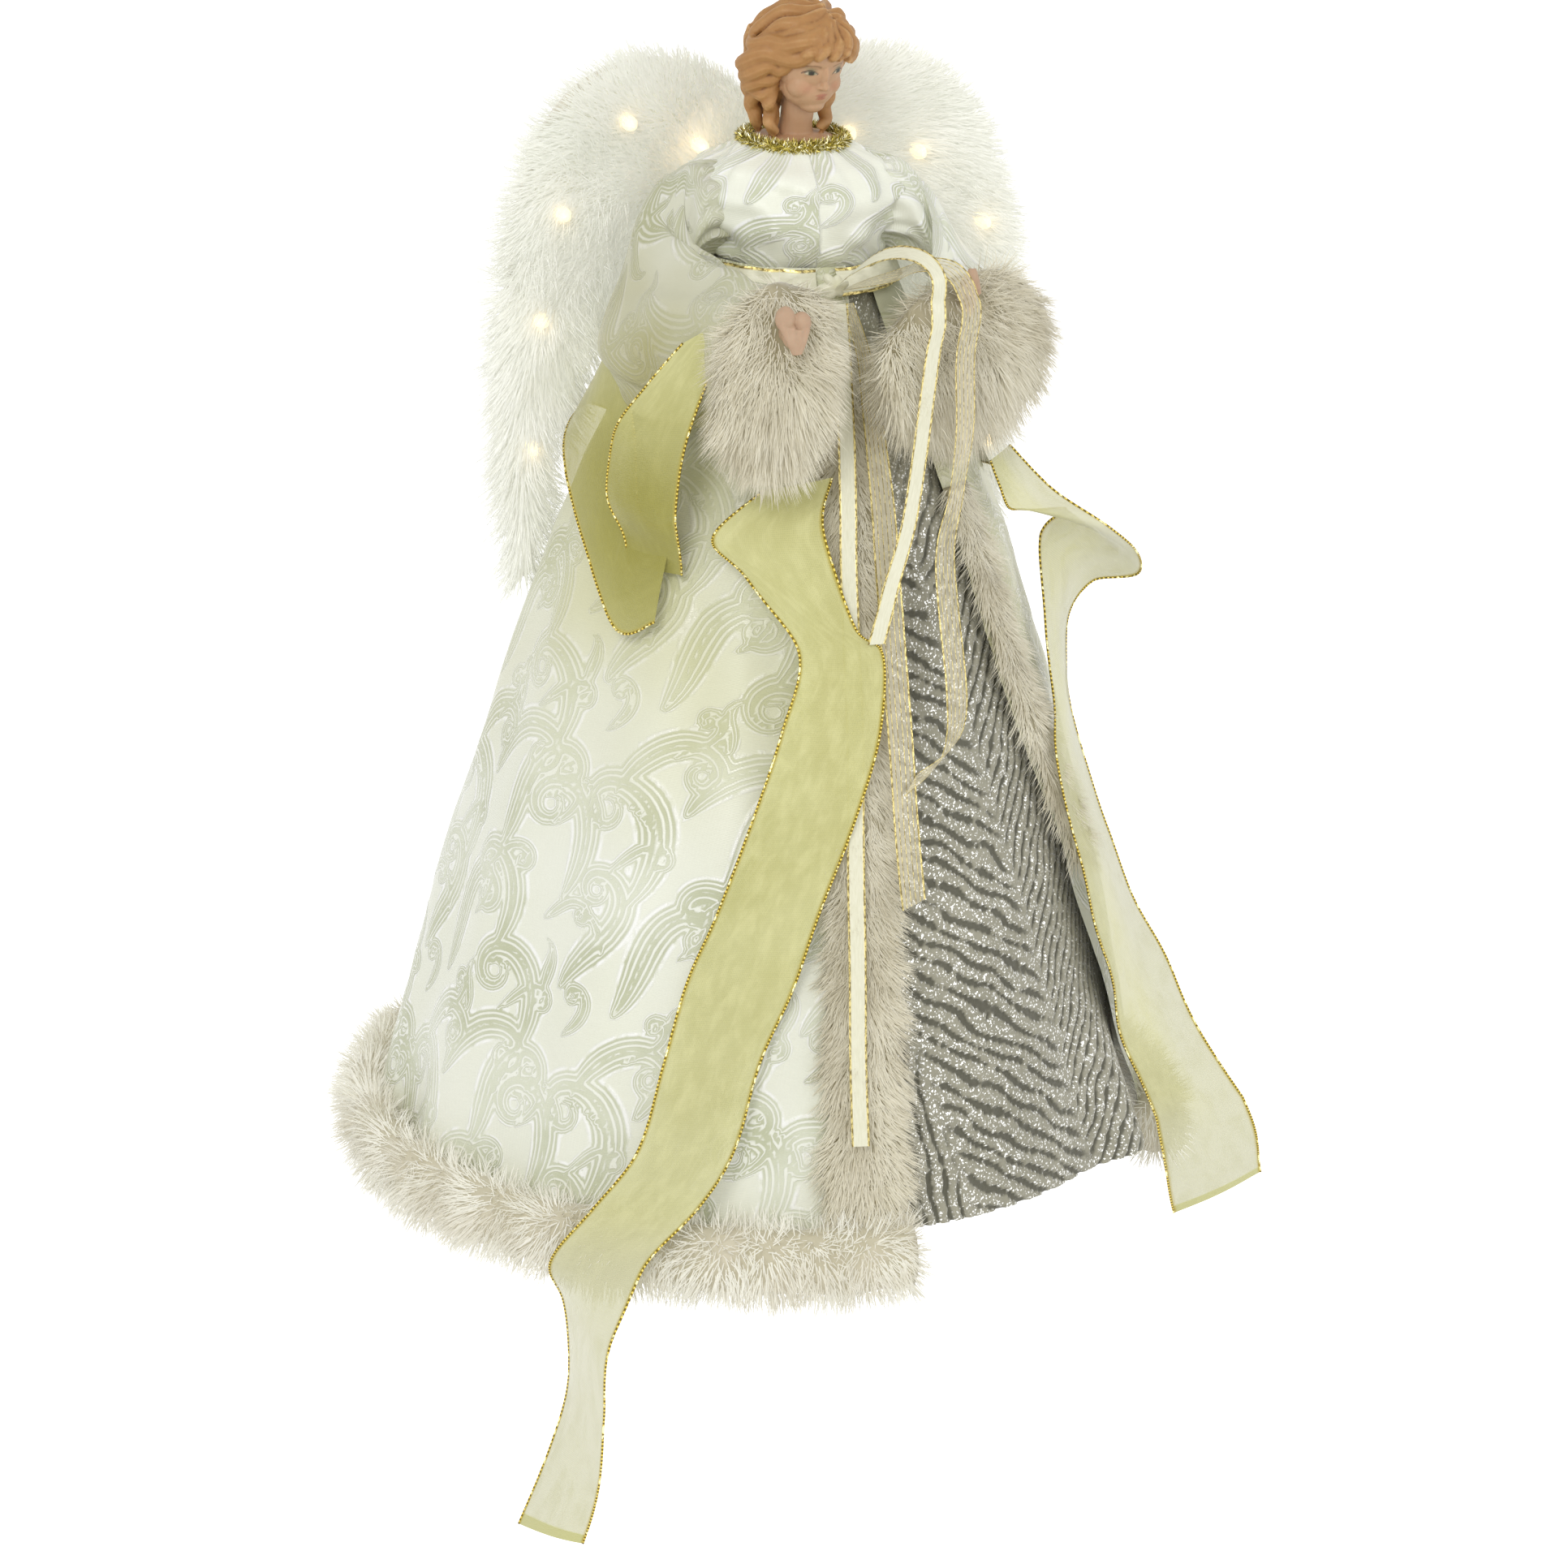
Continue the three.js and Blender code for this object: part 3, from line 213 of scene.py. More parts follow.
card = Finish("white_card", Roughness=0.78)
card_fibre = card.noise(card.scaled(card.place(), (1, 1, 0.25)), 900, 5, 0.7)
card_cloud = card.noise(card.place(), 28, 3)
card.set("Base Color", card.mix(card_cloud, dye(228, 222, 206), dye(241, 238, 228)))
card.relief(card_fibre, 0.35, 0.0002)
finish_nodes(["cone_base", "wing_bracket", "wing_backing_right", "wing_backing_left"], card)

foam = Finish("foam_beads", Roughness=0.85)
foam_beads = foam.specks(foam.place(), 420)["Distance"]
foam.set("Base Color", foam.mix(foam_beads, dye(248, 247, 243), dye(226, 224, 216)))
foam.relief(foam.sum("SUBTRACT", 1.0, foam_beads), 0.6, 0.0006)
finish_nodes(["torso_core"], foam)

dowel = Finish("birch_dowel", Roughness=0.6)
dowel_grain = dowel.noise(dowel.scaled(dowel.place(), (1, 1, 0.05)), 1600, 4, 0.6)
dowel.set("Base Color", dowel.mix(dowel_grain, dye(190, 152, 104), dye(222, 194, 150)))
dowel.relief(dowel_grain, 0.3, 0.0002)
finish_nodes(["neck_dowel"], dowel)

wire = Finish("drawn_wire", Roughness=0.36, Metallic=1.0)
wire_lines = wire.noise(wire.scaled(wire.place(), (1, 0.2, 1)), 2600, 4)
wire.set("Base Color", wire.mix(wire_lines, dye(150, 150, 148), dye(205, 205, 200)))
wire.relief(wire_lines, 0.2, 0.0001)
finish_nodes(["arm_wire_right", "arm_wire_left"], wire)


# Underskirt: pleated metallic cloth, heat-set in a herringbone of grooves, with glitter on the
# ridges. It is a full cone under the robe, and its front corner is pulled out at the hem.

waist_height, hem_radius, cloth_wall = 301.0, 131.0, 1.6
skirt_slope = 1.054  # millimetres down the cloth for each millimetre of height
outline_heights = (0, 0.168, 0.336, 0.503, 0.671, 0.755, 0.839, 0.923, 1)
outline_radii = (1, 0.912, 0.817, 0.706, 0.584, 0.508, 0.416, 0.321, 0.237)


def robe_radius(height):
    return hem_radius * np.interp(np.asarray(height) / waist_height, outline_heights, outline_radii)


def hem_share(height):
    return np.clip(1 - np.asarray(height) / waist_height, 0, 1)


def together(*parts):
    """Grids of single values joined into one grid of points."""
    return np.stack(np.broadcast_arrays(*parts), -1)


def polar(degrees, radius, height):
    """Points at an angle from the front towards the angel's left."""
    turn = np.radians(degrees)
    return together(radius * np.sin(turn), -radius * np.cos(turn), height)


def grid_faces(rows, columns, ring=False, start=0):
    """Quads of a grid of points, row by row, whose columns may close into a ring."""
    i = np.arange(rows - 1)[:, None] * columns
    j = np.arange(columns if ring else columns - 1)[None, :]
    k = (j + 1) % columns
    return together(i + j, i + k, i + k + columns, i + j + columns).reshape(-1, 4) + start


def make_piece(name, points, faces, finishes, cloth_uv=None, face_finish=None, **marks):
    """A mesh object from points in millimetres, with its cloth map and its marks on the points."""
    mesh = bpy.data.meshes.new(name)
    mesh.from_pydata((np.asarray(points, float).reshape(-1, 3) * 0.001).tolist(), [],
                     [list(face) for face in faces])
    mesh.polygons.foreach_set("use_smooth", np.ones(len(mesh.polygons), bool))
    if cloth_uv is not None:
        corners = np.empty(len(mesh.loops), np.int32)
        mesh.loops.foreach_get("vertex_index", corners)
        spread = np.asarray(cloth_uv, np.float32).reshape(-1, 2)[corners]
        mesh.uv_layers.new(name="cloth").data.foreach_set("uv", spread.ravel())
    for mark, values in marks.items():
        values = np.asarray(values, np.float32)
        vector = values.size == 3 * len(mesh.vertices)
        layer = mesh.attributes.new(mark, "FLOAT_VECTOR" if vector else "FLOAT", "POINT")
        layer.data.foreach_set("vector" if vector else "value", values.ravel())
    for finish in finishes if isinstance(finishes, (list, tuple)) else [finishes]:
        mesh.materials.append(finish.material)
    if face_finish is not None:
        mesh.polygons.foreach_set("material_index", np.asarray(face_finish, np.int32))
    return new_object(name, mesh)


def soft_noise(x, y, seed):
    """Smooth noise from -1 to 1 over a plane, as a sum of turned waves."""
    dice = np.random.default_rng(seed)
    total = np.zeros(np.broadcast(x, y).shape)
    waves = 14
    for _ in range(waves):
        turn, pitch, phase = dice.uniform(0, 2 * np.pi), dice.uniform(0.6, 1.6), dice.uniform(0, 2 * np.pi)
        total = total + np.sin(pitch * (x * np.cos(turn) + y * np.sin(turn)) * 2 * np.pi + phase)
    return total / waves ** 0.5 / 1.4


skirt_corner_degrees, corner_pull, corner_height = 56, 11, 56


def skirt_radius(height, degrees):
    gap = 0.4 + 3.8 * hem_share(height)
    near_corner = np.exp(-((((degrees + 180) % 360 - 180) - skirt_corner_degrees) / 7) ** 2)
    low = np.clip(1 - height / corner_height, 0, 1)
    return robe_radius(height) - cloth_wall - gap + corner_pull * near_corner * low


def herringbone(aside, rise):
    """Groove phase and the distance from the nearest spine, in millimetres over the unrolled cloth. The
    grooves turn at a long spine, and once more at a short one low down, nearer the front."""
    from_spine = aside - (46.0 + (170.0 - rise) * 0.34)
    from_low_spine = aside - (6.0 + (96.0 - rise) * 0.36)
    left_phase = (rise * 0.5 - aside * 0.86) / 5.2
    right_phase = (rise * 0.86 + aside * 0.5) / 5.9
    low_phase = (aside * 0.92 + rise * 0.2) / 4.8
    phase = np.where(from_spine > 0, left_phase, right_phase)
    phase = np.where((from_low_spine < 0) & (rise < 92), low_phase, phase)
    near = np.minimum(np.abs(from_spine), np.where(rise < 100, np.abs(from_low_spine), 99))
    return phase, near


skirt_rows, skirt_front, skirt_rest = 270, 250, 60
skirt_heights = np.linspace(-2, waist_height, skirt_rows)[:, None]
skirt_degrees = np.concatenate([np.linspace(-6, 78, skirt_front, endpoint=False),
                                np.linspace(78, 354, skirt_rest, endpoint=False)])[None, :]
skirt_slant = (waist_height - skirt_heights) * skirt_slope
skirt_arc = np.radians(skirt_degrees) * robe_radius(skirt_heights)
groove_phase, spine_near = herringbone(skirt_arc, skirt_heights * skirt_slope)
groove_warp = soft_noise(skirt_arc / 26, skirt_slant / 26, 5) * 0.3
groove_wave = np.cos(2 * np.pi * (groove_phase + groove_warp))
groove_breaks = (soft_noise(skirt_arc / 8, skirt_slant / 8, 9)
                 + 0.5 * soft_noise(skirt_arc / 3.4, skirt_slant / 3.4, 10))
groove_depth = np.clip((groove_wave - 0.1 + 0.5 * groove_breaks) / 0.7, 0, 1)
groove_depth = groove_depth * np.clip(0.35 + spine_near / 7, 0, 1)
groove_depth = groove_depth * np.clip((262 - skirt_heights) / 50, 0.25, 1)
skirt_relief = 0.35 - 1.15 * groove_depth + 0.12 * soft_noise(skirt_arc / 3, skirt_slant / 3, 3)
skirt_outside = skirt_radius(skirt_heights, skirt_degrees) + skirt_relief
skirt_points = polar(skirt_degrees, skirt_outside, skirt_heights)

silver = Finish("silver_pleats", Roughness=0.55, Sheen_Weight=0.25)
silver_uv = silver.cloth_place()
silver_groove = silver.fade(silver.mark("groove"), 0.15, 0.85)
silver_thread = silver.noise(silver_uv, 900, 3, 0.6)
silver_cloud = silver.noise(silver_uv, 26, 3, 0.6)
silver_ridge = silver.mix(silver_cloud, dye(136, 133, 113), dye(186, 182, 162))
# painted shade: the grooves take a dark colour that stands for the shade in them
silver_groove_shade = silver.mix(silver_cloud, dye(66, 64, 48), dye(98, 96, 78))
silver_base = silver.mix(silver_groove, silver_ridge, silver_groove_shade)
silver_grit = silver.specks(silver_uv, 1900.0)["Color"]
silver_spark = silver.fade(silver.split(silver_grit)[0], 0.76, 0.97)
silver_spark = silver.sum("MULTIPLY", silver_spark, silver.sum("SUBTRACT", 1.0, silver_groove))
silver_base = silver.mix(silver.sum("MULTIPLY", silver_thread, 0.35), silver_base, dye(92, 90, 74))
silver.set("Base Color", silver.mix(silver_spark, silver_base, dye(252, 252, 248)))
silver.set("Metallic", silver.sum("MULTIPLY", silver_spark, 0.7))
silver.set("Roughness", silver.fade(silver_spark, 0, 1, 0.58, 0.24))
silver.relief(silver.sum("ADD", silver_thread, silver.sum("MULTIPLY", silver_spark, 0.6)), 0.5, 0.0004)

skirt_uv = together(skirt_arc, skirt_slant) * 0.001
skirt_faces = grid_faces(skirt_rows, skirt_front + skirt_rest, True)
underskirt = make_piece("underskirt_cloth", skirt_points, skirt_faces, silver, skirt_uv,
                        groove=groove_depth)
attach(underskirt, "root")
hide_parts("underskirt")


# Robe: one fan-cut panel of scroll brocade, sewn to the waist and hanging over the skirt. Its near
# edge lies at the middle of the front and its far edge is drawn back, and both are bound with fur.

fold_angles = (-24, -46, -74, -100, -128, -160, -196, -228, -252, -276)
fur_strip_width = 32.0


def far_edge(height):
    return np.interp(np.asarray(height) / waist_height, (0, 0.1, 0.24, 0.38, 0.53, 0.66, 1),
                     (70, 62, 56, 50, 42, 38, 34))


def near_edge(height):
    return 360 + np.degrees(np.arcsin(10 / robe_radius(height)))


def robe_surface(height, degrees):
    inward = np.minimum(degrees - far_edge(height), near_edge(height) - degrees)
    calm = np.clip((inward - np.degrees(fur_strip_width / robe_radius(height))) / 9, 0, 1)
    folds = sum(np.exp(-((degrees - 360 - at) / 9) ** 2) for at in fold_angles)
    return robe_radius(height) + 2.6 * hem_share(height) * calm * (2 * folds - 1)


def robe_top(height):
    """The radius from which trims and ribbons on the robe start."""
    return (robe_radius(height) + 0.5) / math.cos(math.radians(3.6))


# height and slant of the whole cone that the robe is a part of, and where its straight grain runs
fan_height, fan_slant, fan_grain = 394, 415, 315


def fan_map(height, degrees):
    """The robe's cloth laid flat, in millimetres, with its straight grain down the seen side."""
    below_tip = fan_height - np.asarray(height)
    slant = np.hypot(below_tip, below_tip / fan_height * hem_radius)
    spread = np.radians(degrees - fan_grain) * hem_radius / fan_slant
    return slant * np.sin(spread), -slant * np.cos(spread)


# Brocade: scrolls and plumes woven into satin. A repeat is drawn once as fronds, spirals that swell
# and taper, and kept as the distance from the nearest frond in shares of its half width.
repeat_wide, repeat_high, repeat_step = 92.0, 118.0, 0.5
fronds = [  # start x and y, heading, length, bend, curl, half width
    (4, 2, 58, 100, 0.6, 4.6, 7.2), (38, 14, 64, 88, 0.5, -4.8, 6.4), (70, 0, 60, 94, 0.55, 4.7, 6.8),
    (20, 40, 66, 84, -0.45, -4.6, 6.2), (54, 52, 60, 92, 0.6, 4.8, 6.6), (86, 44, 66, 80, -0.4, -4.8, 6.0),
    (6, 78, 62, 92, 0.55, -4.7, 6.6), (40, 92, 58, 84, 0.5, 4.7, 6.2), (74, 84, 64, 88, -0.5, 4.6, 6.4),
    (30, 4, 38, 50, 0.3, -6.4, 3.2), (60, 26, 34, 46, 0.3, 6.4, 3.0), (88, 14, 42, 46, 0.3, -6.4, 3.0),
    (12, 60, 40, 46, -0.3, 6.4, 3.0), (46, 70, 36, 48, 0.3, -6.4, 3.2), (78, 66, 40, 44, 0.3, 6.4, 3.0),
    (26, 104, 40, 46, 0.3, 6.4, 3.0), (62, 108, 36, 44, 0.3, -6.4, 3.0),
    (14, 24, 96, 22, 0.5, 0.6, 3.6), (48, 36, 88, 22, -0.5, 0.6, 3.6), (82, 30, 92, 22, 0.5, 0.6, 3.4),
    (30, 66, 84, 22, 0.5, -0.6, 3.4), (66, 80, 96, 22, -0.5, 0.6, 3.4), (90, 100, 86, 22, 0.5, 0.6, 3.4),
]


def frond_line(x, y, heading, length, bend, curl):
    """A spiral from its foot: it leans in an S and then winds up towards its tip."""
    steps = 71
    share = np.linspace(0, 1, steps + 1)
    turn = math.radians(heading) + bend * np.sin(share * np.pi) + curl * share ** 3 * 1.9
    step = length / steps
    return (x + np.concatenate([[0], np.cumsum(np.cos(turn[:-1]) * step)]),
            y + np.concatenate([[0], np.cumsum(np.sin(turn[:-1]) * step)]), share)


def draw_repeat():
    across = np.arange(0, repeat_wide, repeat_step)
    along = np.arange(0, repeat_high, repeat_step)
    grid_x, grid_y = np.meshgrid(across, along)
    margin = 9.0  # further from a frond than this, the cloth is plain ground
    nearest = np.full(grid_x.shape, margin)
    for x, y, heading, length, bend, curl, half_width in fronds:
        line_x, line_y, share = frond_line(x, y, heading, length, bend, curl)
        widths = half_width * (0.2 + 0.82 * np.sin(np.pi * share ** 0.7) ** 1.1)
        for shift_x in (-1, 0, 1):
            for shift_y in (-1, 0, 1):
                moved_x, moved_y = line_x + shift_x * repeat_wide, line_y + shift_y * repeat_high
                columns = (across > moved_x.min() - margin) & (across < moved_x.max() + margin)
                rows = (along > moved_y.min() - margin) & (along < moved_y.max() + margin)
                if not columns.any() or not rows.any():
                    continue
                patch = np.ix_(rows, columns)
                gap = np.hypot(grid_x[patch][..., None] - moved_x, grid_y[patch][..., None] - moved_y)
                nearest[patch] = np.minimum(nearest[patch], (gap / widths).min(-1))
    return nearest


frond_repeat = draw_repeat()


def frond_distance(x, y):
    """How far each point of flat cloth lies from its nearest frond: below 1 is inside the frond."""
    column = np.mod(np.asarray(x), repeat_wide) / repeat_step
    row = np.mod(np.asarray(y), repeat_high) / repeat_step
    high, wide = frond_repeat.shape
    i, j = row.astype(int) % high, column.astype(int) % wide
    s, t = row - np.floor(row), column - np.floor(column)
    k, m = (i + 1) % high, (j + 1) % wide
    return ((1 - s) * ((1 - t) * frond_repeat[i, j] + t * frond_repeat[i, m])
            + s * ((1 - t) * frond_repeat[k, j] + t * frond_repeat[k, m]))


def brocade_finish(name, shade, shade_heights, shade_shares, shade_colour):
    """Satin ground and woven fronds: broken bright threads run along each frond and round its rim. The
    shade factor makes this copy of the cloth lighter or darker, as painted light and shade for its
    piece, and a painted yellow-green shade lies over it in patches, whose share goes from one value
    to another between two heights."""
    # the shade factor is painted light and shade for the whole piece
    def tone(*colour):
        return dye(*(min(c * shade, 254) for c in colour))

    cloth = Finish(name, Roughness=0.4, Sheen_Weight=0.15)
    flat = cloth.cloth_place()
    frond = cloth.mark("frond")
    inside = cloth.fade(frond, 1.04, 0.9)
    brush = cloth.noise(cloth.scaled(flat, (1, 0.5, 1)), 210, 3, 0.6)
    rings = cloth.sum("ADD", cloth.sum("MULTIPLY", frond, 19.0), cloth.sum("MULTIPLY", brush, 2.4))
    rings = cloth.sum("MULTIPLY", cloth.fade(cloth.sum("SINE", rings), -0.5, 0.8), inside)
    rim = cloth.sum("MULTIPLY", cloth.fade(frond, 1.22, 1.04), cloth.fade(frond, 0.82, 0.98))
    rim = cloth.sum("MULTIPLY", rim, cloth.fade(brush, 0.35, 0.55))
    thread = cloth.add("ShaderNodeTexWave", {"Vector": flat, "Scale": 560.0, "Distortion": 0.6,
                       "Detail": 1.0}, bands_direction="Y").outputs["Fac"]
    twill = cloth.noise(cloth.scaled(flat, (1, 0.25, 1)), 1500, 2, 0.6)
    cloud = cloth.noise(flat, 22, 3, 0.55)
    # painted shade: a yellow-green shade in patches, its share set by height
    painted_shade = cloth.fade(cloth.split(cloth.place())[2], *shade_heights, *shade_shares)
    shade_patches = cloth.fade(cloth.noise(cloth.place(), 14, 2, 0.5), 0.36, 0.62, 0.55, 1.0)
    painted_shade = cloth.sum("MULTIPLY", painted_shade, shade_patches)
    ground = cloth.mix(cloud, tone(230, 232, 214), tone(243, 244, 234))
    leaf = cloth.mix(cloth.fade(cloud, 0.35, 0.62), tone(190, 194, 164), tone(222, 225, 206))
    colour = cloth.mix(inside, ground, leaf)
    colour = cloth.mix(cloth.sum("MULTIPLY", rings, 0.85), colour, tone(248, 249, 240))
    colour = cloth.mix(cloth.sum("MULTIPLY", rim, 0.9), colour, tone(255, 255, 252))
    colour = cloth.mix(cloth.sum("MULTIPLY", twill, 0.1), colour, tone(170, 172, 140))
    cloth.set("Base Color", cloth.mix(painted_shade, colour, dye(*shade_colour)))
    gloss = cloth.sum("MAXIMUM", rim, cloth.sum("MULTIPLY", rings, 0.8))
    cloth.set("Roughness", cloth.fade(gloss, 0, 1, 0.37, 0.2))
    height = cloth.sum("ADD", cloth.sum("MULTIPLY", thread, 0.12), cloth.sum("MULTIPLY", gloss, 0.9))
    cloth.relief(height, 0.5, 0.0006)
    return cloth


# the robe's copy: painted shade that grows towards its top
brocade = brocade_finish("scroll_brocade", 1.0, (0.105, 0.2), (0.1, 0.66), (202, 199, 144))
robe_low, robe_middle = 0.5, 150.0
robe_bands = [  # from, to, rows, and every how many of the fine columns it has
    (robe_low, robe_middle, 112, 1), (robe_middle, waist_height, 118, 2)]
fine_share = np.concatenate([np.linspace(0, 0.16, 66, endpoint=False),
                             np.linspace(0.16, 0.585, 96, endpoint=False), np.linspace(0.585, 1, 219)])
robe_points, robe_uv, robe_frond, robe_faces = [], [], [], []
robe_count = 0
for low, high, rows, skip in robe_bands:
    share = fine_share[::skip]
    heights = np.linspace(low, high, rows)[:, None]
    degrees = far_edge(heights) + (near_edge(heights) - far_edge(heights)) * share[None, :]
    flat_x, flat_y = fan_map(heights, degrees)
    frond = frond_distance(flat_x * 1.14, flat_y * 1.14)
    ripple = 0.5 * soft_noise(flat_x / 42, flat_y / 90, 21) * (0.4 + hem_share(heights))
    relief = 0.3 * np.clip(1.1 - frond, 0, 1) ** 0.5 + ripple
    band = polar(degrees, robe_surface(heights, degrees) + relief, heights)
    if skip == 1:  # its top row meets the coarser band without gaps
        top = band[-1]
        top[1:-1:2] = (top[0:-2:2] + top[2::2]) / 2
    robe_points.append(band.reshape(-1, 3))
    robe_uv.append(np.stack([flat_x, flat_y], -1).reshape(-1, 2) * 0.001)
    robe_frond.append(frond.ravel())
    robe_faces.append(grid_faces(rows, len(share), start=robe_count))
    robe_count += rows * len(share)
robe = make_piece("robe_cloth", np.concatenate(robe_points), np.concatenate(robe_faces), brocade,
                  np.concatenate(robe_uv), frond=np.concatenate(robe_frond))
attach(robe, "root")
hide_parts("robe")


# Fur trims: long-pile ivory plush round the hem, up the fronts and at the cuffs. The fronts and cuffs
# take a darker beige copy of it, which is painted shade. A roll hangs at the robe's hem and a flat
# strip is sewn up each front edge. Soft tapered hairs grow from their backing.

def grow_tree():
    """Hairs on a backing: each stands between the backing's normal and its combing, in tufts."""
    tree = bpy.data.node_groups.new("grown_pile", "GeometryNodeTree")
    face = tree.interface
    face.new_socket("Backing", in_out="INPUT", socket_type="NodeSocketGeometry")
    for name, value in [("Hairs per m2", 500000.0), ("Length", 0.01), ("Width", 0.0003), ("Lean", 0.6),
                        ("Stray", 0.3), ("Sag", 0.2), ("Tuft", 200.0), ("Tuft pull", 0.4)]:
        face.new_socket(name, in_out="INPUT", socket_type="NodeSocketFloat").default_value = value
    face.new_socket("Seed", in_out="INPUT", socket_type="NodeSocketInt")
    face.new_socket("Hair", in_out="INPUT", socket_type="NodeSocketMaterial")
    face.new_socket("Pile", in_out="OUTPUT", socket_type="NodeSocketGeometry")
    given = tree.nodes.new("NodeGroupInput").outputs

    def vector(operation, first, second, index=1):
        return add_node(tree, "ShaderNodeVectorMath", {0: first, index: second},
                        operation=operation).outputs[0]

    def number(operation, first, second):
        return add_node(tree, "ShaderNodeMath", {0: first, 1: second}, operation=operation).outputs[0]

    def named(name, kind):
        return add_node(tree, "GeometryNodeInputNamedAttribute", {"Name": name},
                        data_type=kind).outputs["Attribute"]

    def combined(x, y, z):
        return add_node(tree, "ShaderNodeCombineXYZ", {0: x, 1: y, 2: z}).outputs[0]

    def chance(low, high, salt, kind="FLOAT"):
        seed = number("ADD", given["Seed"], salt)
        dice = add_node(tree, "FunctionNodeRandomValue", {"Seed": seed}, data_type=kind)
        sockets = [s for s in dice.inputs if s.enabled]
        plug(tree, low, sockets[0])
        plug(tree, high, sockets[1])
        return next(s for s in dice.outputs if s.enabled)

    spread = add_node(tree, "GeometryNodeDistributePointsOnFaces",
                      {"Mesh": given["Backing"], "Seed": given["Seed"],
                       "Density": number("MULTIPLY", given["Hairs per m2"], named("thick", "FLOAT"))},
                      distribute_method="RANDOM")
    place = tree.nodes.new("GeometryNodeInputPosition").outputs[0]
    tuft = add_node(tree, "ShaderNodeTexNoise", {"Vector": place, "Scale": given["Tuft"], "Detail": 1.5})
    tuft_way = vector("SUBTRACT", tuft.outputs["Color"], (0.5, 0.5, 0.5))
    scatter = chance((-1.0,) * 3, (1.0,) * 3, 11, "FLOAT_VECTOR")
    standing = vector("SCALE", spread.outputs["Normal"], number("SUBTRACT", 1.0, given["Lean"]), "Scale")
    lying = vector("SCALE", named("comb", "FLOAT_VECTOR"), given["Lean"], "Scale")
    way = vector("ADD", standing, lying)
    way = vector("ADD", way, vector("SCALE", scatter, given["Stray"], "Scale"))
    way = vector("ADD", way, vector("SCALE", tuft_way, given["Tuft pull"], "Scale"))
    way = vector("NORMALIZE", way, (0, 0, 0))
    turned = add_node(tree, "FunctionNodeAxesToRotation", {"Primary Axis": way,
                      "Secondary Axis": spread.outputs["Normal"]}, primary_axis="Z", secondary_axis="Y")
    long = number("MULTIPLY", given["Length"], named("long", "FLOAT"))
    long = number("MULTIPLY", long, chance(0.55, 1.0, 3))
    pull = vector("ADD", vector("SCALE", tuft_way, given["Tuft pull"], "Scale"),
                  combined(0.0, 0.0, number("MULTIPLY", given["Sag"], -1.0)))
    pull = vector("SCALE", pull, long, "Scale")
    marked = spread.outputs["Points"]
    for name, kind, value in [("pull", "FLOAT_VECTOR", pull), ("hair", "FLOAT", chance(0.0, 1.0, 7))]:
        marked = add_node(tree, "GeometryNodeStoreNamedAttribute", {"Geometry": marked, "Name": name,
                          "Value": value}, data_type=kind, domain="POINT").outputs[0]

    blade = add_node(tree, "GeometryNodeMeshGrid", {"Size X": 1.0, "Size Y": 1.0, "Vertices X": 2,
                                                    "Vertices Y": 4}).outputs["Mesh"]
    split = add_node(tree, "ShaderNodeSeparateXYZ", {0: place}).outputs
    rise = number("ADD", split[1], 0.5)
    narrow = number("SUBTRACT", 1.0, number("MULTIPLY", number("POWER", rise, 1.8), 0.9))
    shaped = combined(number("MULTIPLY", split[0], narrow), 0.0, rise)
    blade = add_node(tree, "GeometryNodeSetPosition", {"Geometry": blade, "Position": shaped}).outputs[0]
    blade = add_node(tree, "GeometryNodeStoreNamedAttribute", {"Geometry": blade, "Name": "tip",
                     "Value": rise}, data_type="FLOAT", domain="POINT").outputs[0]
    hairs = add_node(tree, "GeometryNodeInstanceOnPoints", {
        "Points": marked, "Instance": blade, "Rotation": turned.outputs[0],
        "Scale": combined(given["Width"], given["Width"], long)}).outputs[0]
    real = add_node(tree, "GeometryNodeRealizeInstances", {"Geometry": hairs}).outputs[0]
    bend = number("POWER", named("tip", "FLOAT"), 2.0)
    bent = add_node(tree, "GeometryNodeSetPosition", {"Geometry": real, "Offset":
                    vector("SCALE", named("pull", "FLOAT_VECTOR"), bend, "Scale")}).outputs[0]
    joined = tree.nodes.new("GeometryNodeJoinGeometry")
    tree.links.new(bent, joined.inputs[0])
    tree.links.new(given["Backing"], joined.inputs[0])
    dyed = add_node(tree, "GeometryNodeSetMaterial", {"Geometry": joined.outputs[0],
                                                      "Material": given["Hair"]}).outputs[0]
    tree.links.new(dyed, tree.nodes.new("NodeGroupOutput").inputs["Pile"])
    return tree


grown_pile = grow_tree()


def face_outwards(mesh):
    """Turns the faces of a closed mesh of one's own making to point outwards."""
    draft = bmesh.new()
    draft.from_mesh(mesh)
    bmesh.ops.recalc_face_normals(draft, faces=draft.faces)
    draft.to_mesh(mesh)
    draft.free()


def settle(backing, tree, name, **inputs):
    """Runs a Geometry Nodes tree on an object and keeps what it makes as a plain mesh object."""
    face_outwards(backing.data)
    tool = backing.modifiers.new(tree.name, "NODES")
    tool.node_group = tree
    for item in tree.interface.items_tree:
        key = item.name.replace(" ", "_")
        if key in inputs:
            tool[item.identifier] = inputs[key]
    graph = bpy.context.evaluated_depsgraph_get()
    graph.update()
    mesh = bpy.data.meshes.new_from_object(backing.evaluated_get(graph), preserve_all_data_layers=True,
                                           depsgraph=graph)
    mesh.name = name
    for spare in ("pull", "comb", "long", "thick"):
        if spare in mesh.attributes:
            mesh.attributes.remove(mesh.attributes[spare])
    bpy.data.objects.remove(backing, do_unlink=True)
    return new_object(name, mesh)


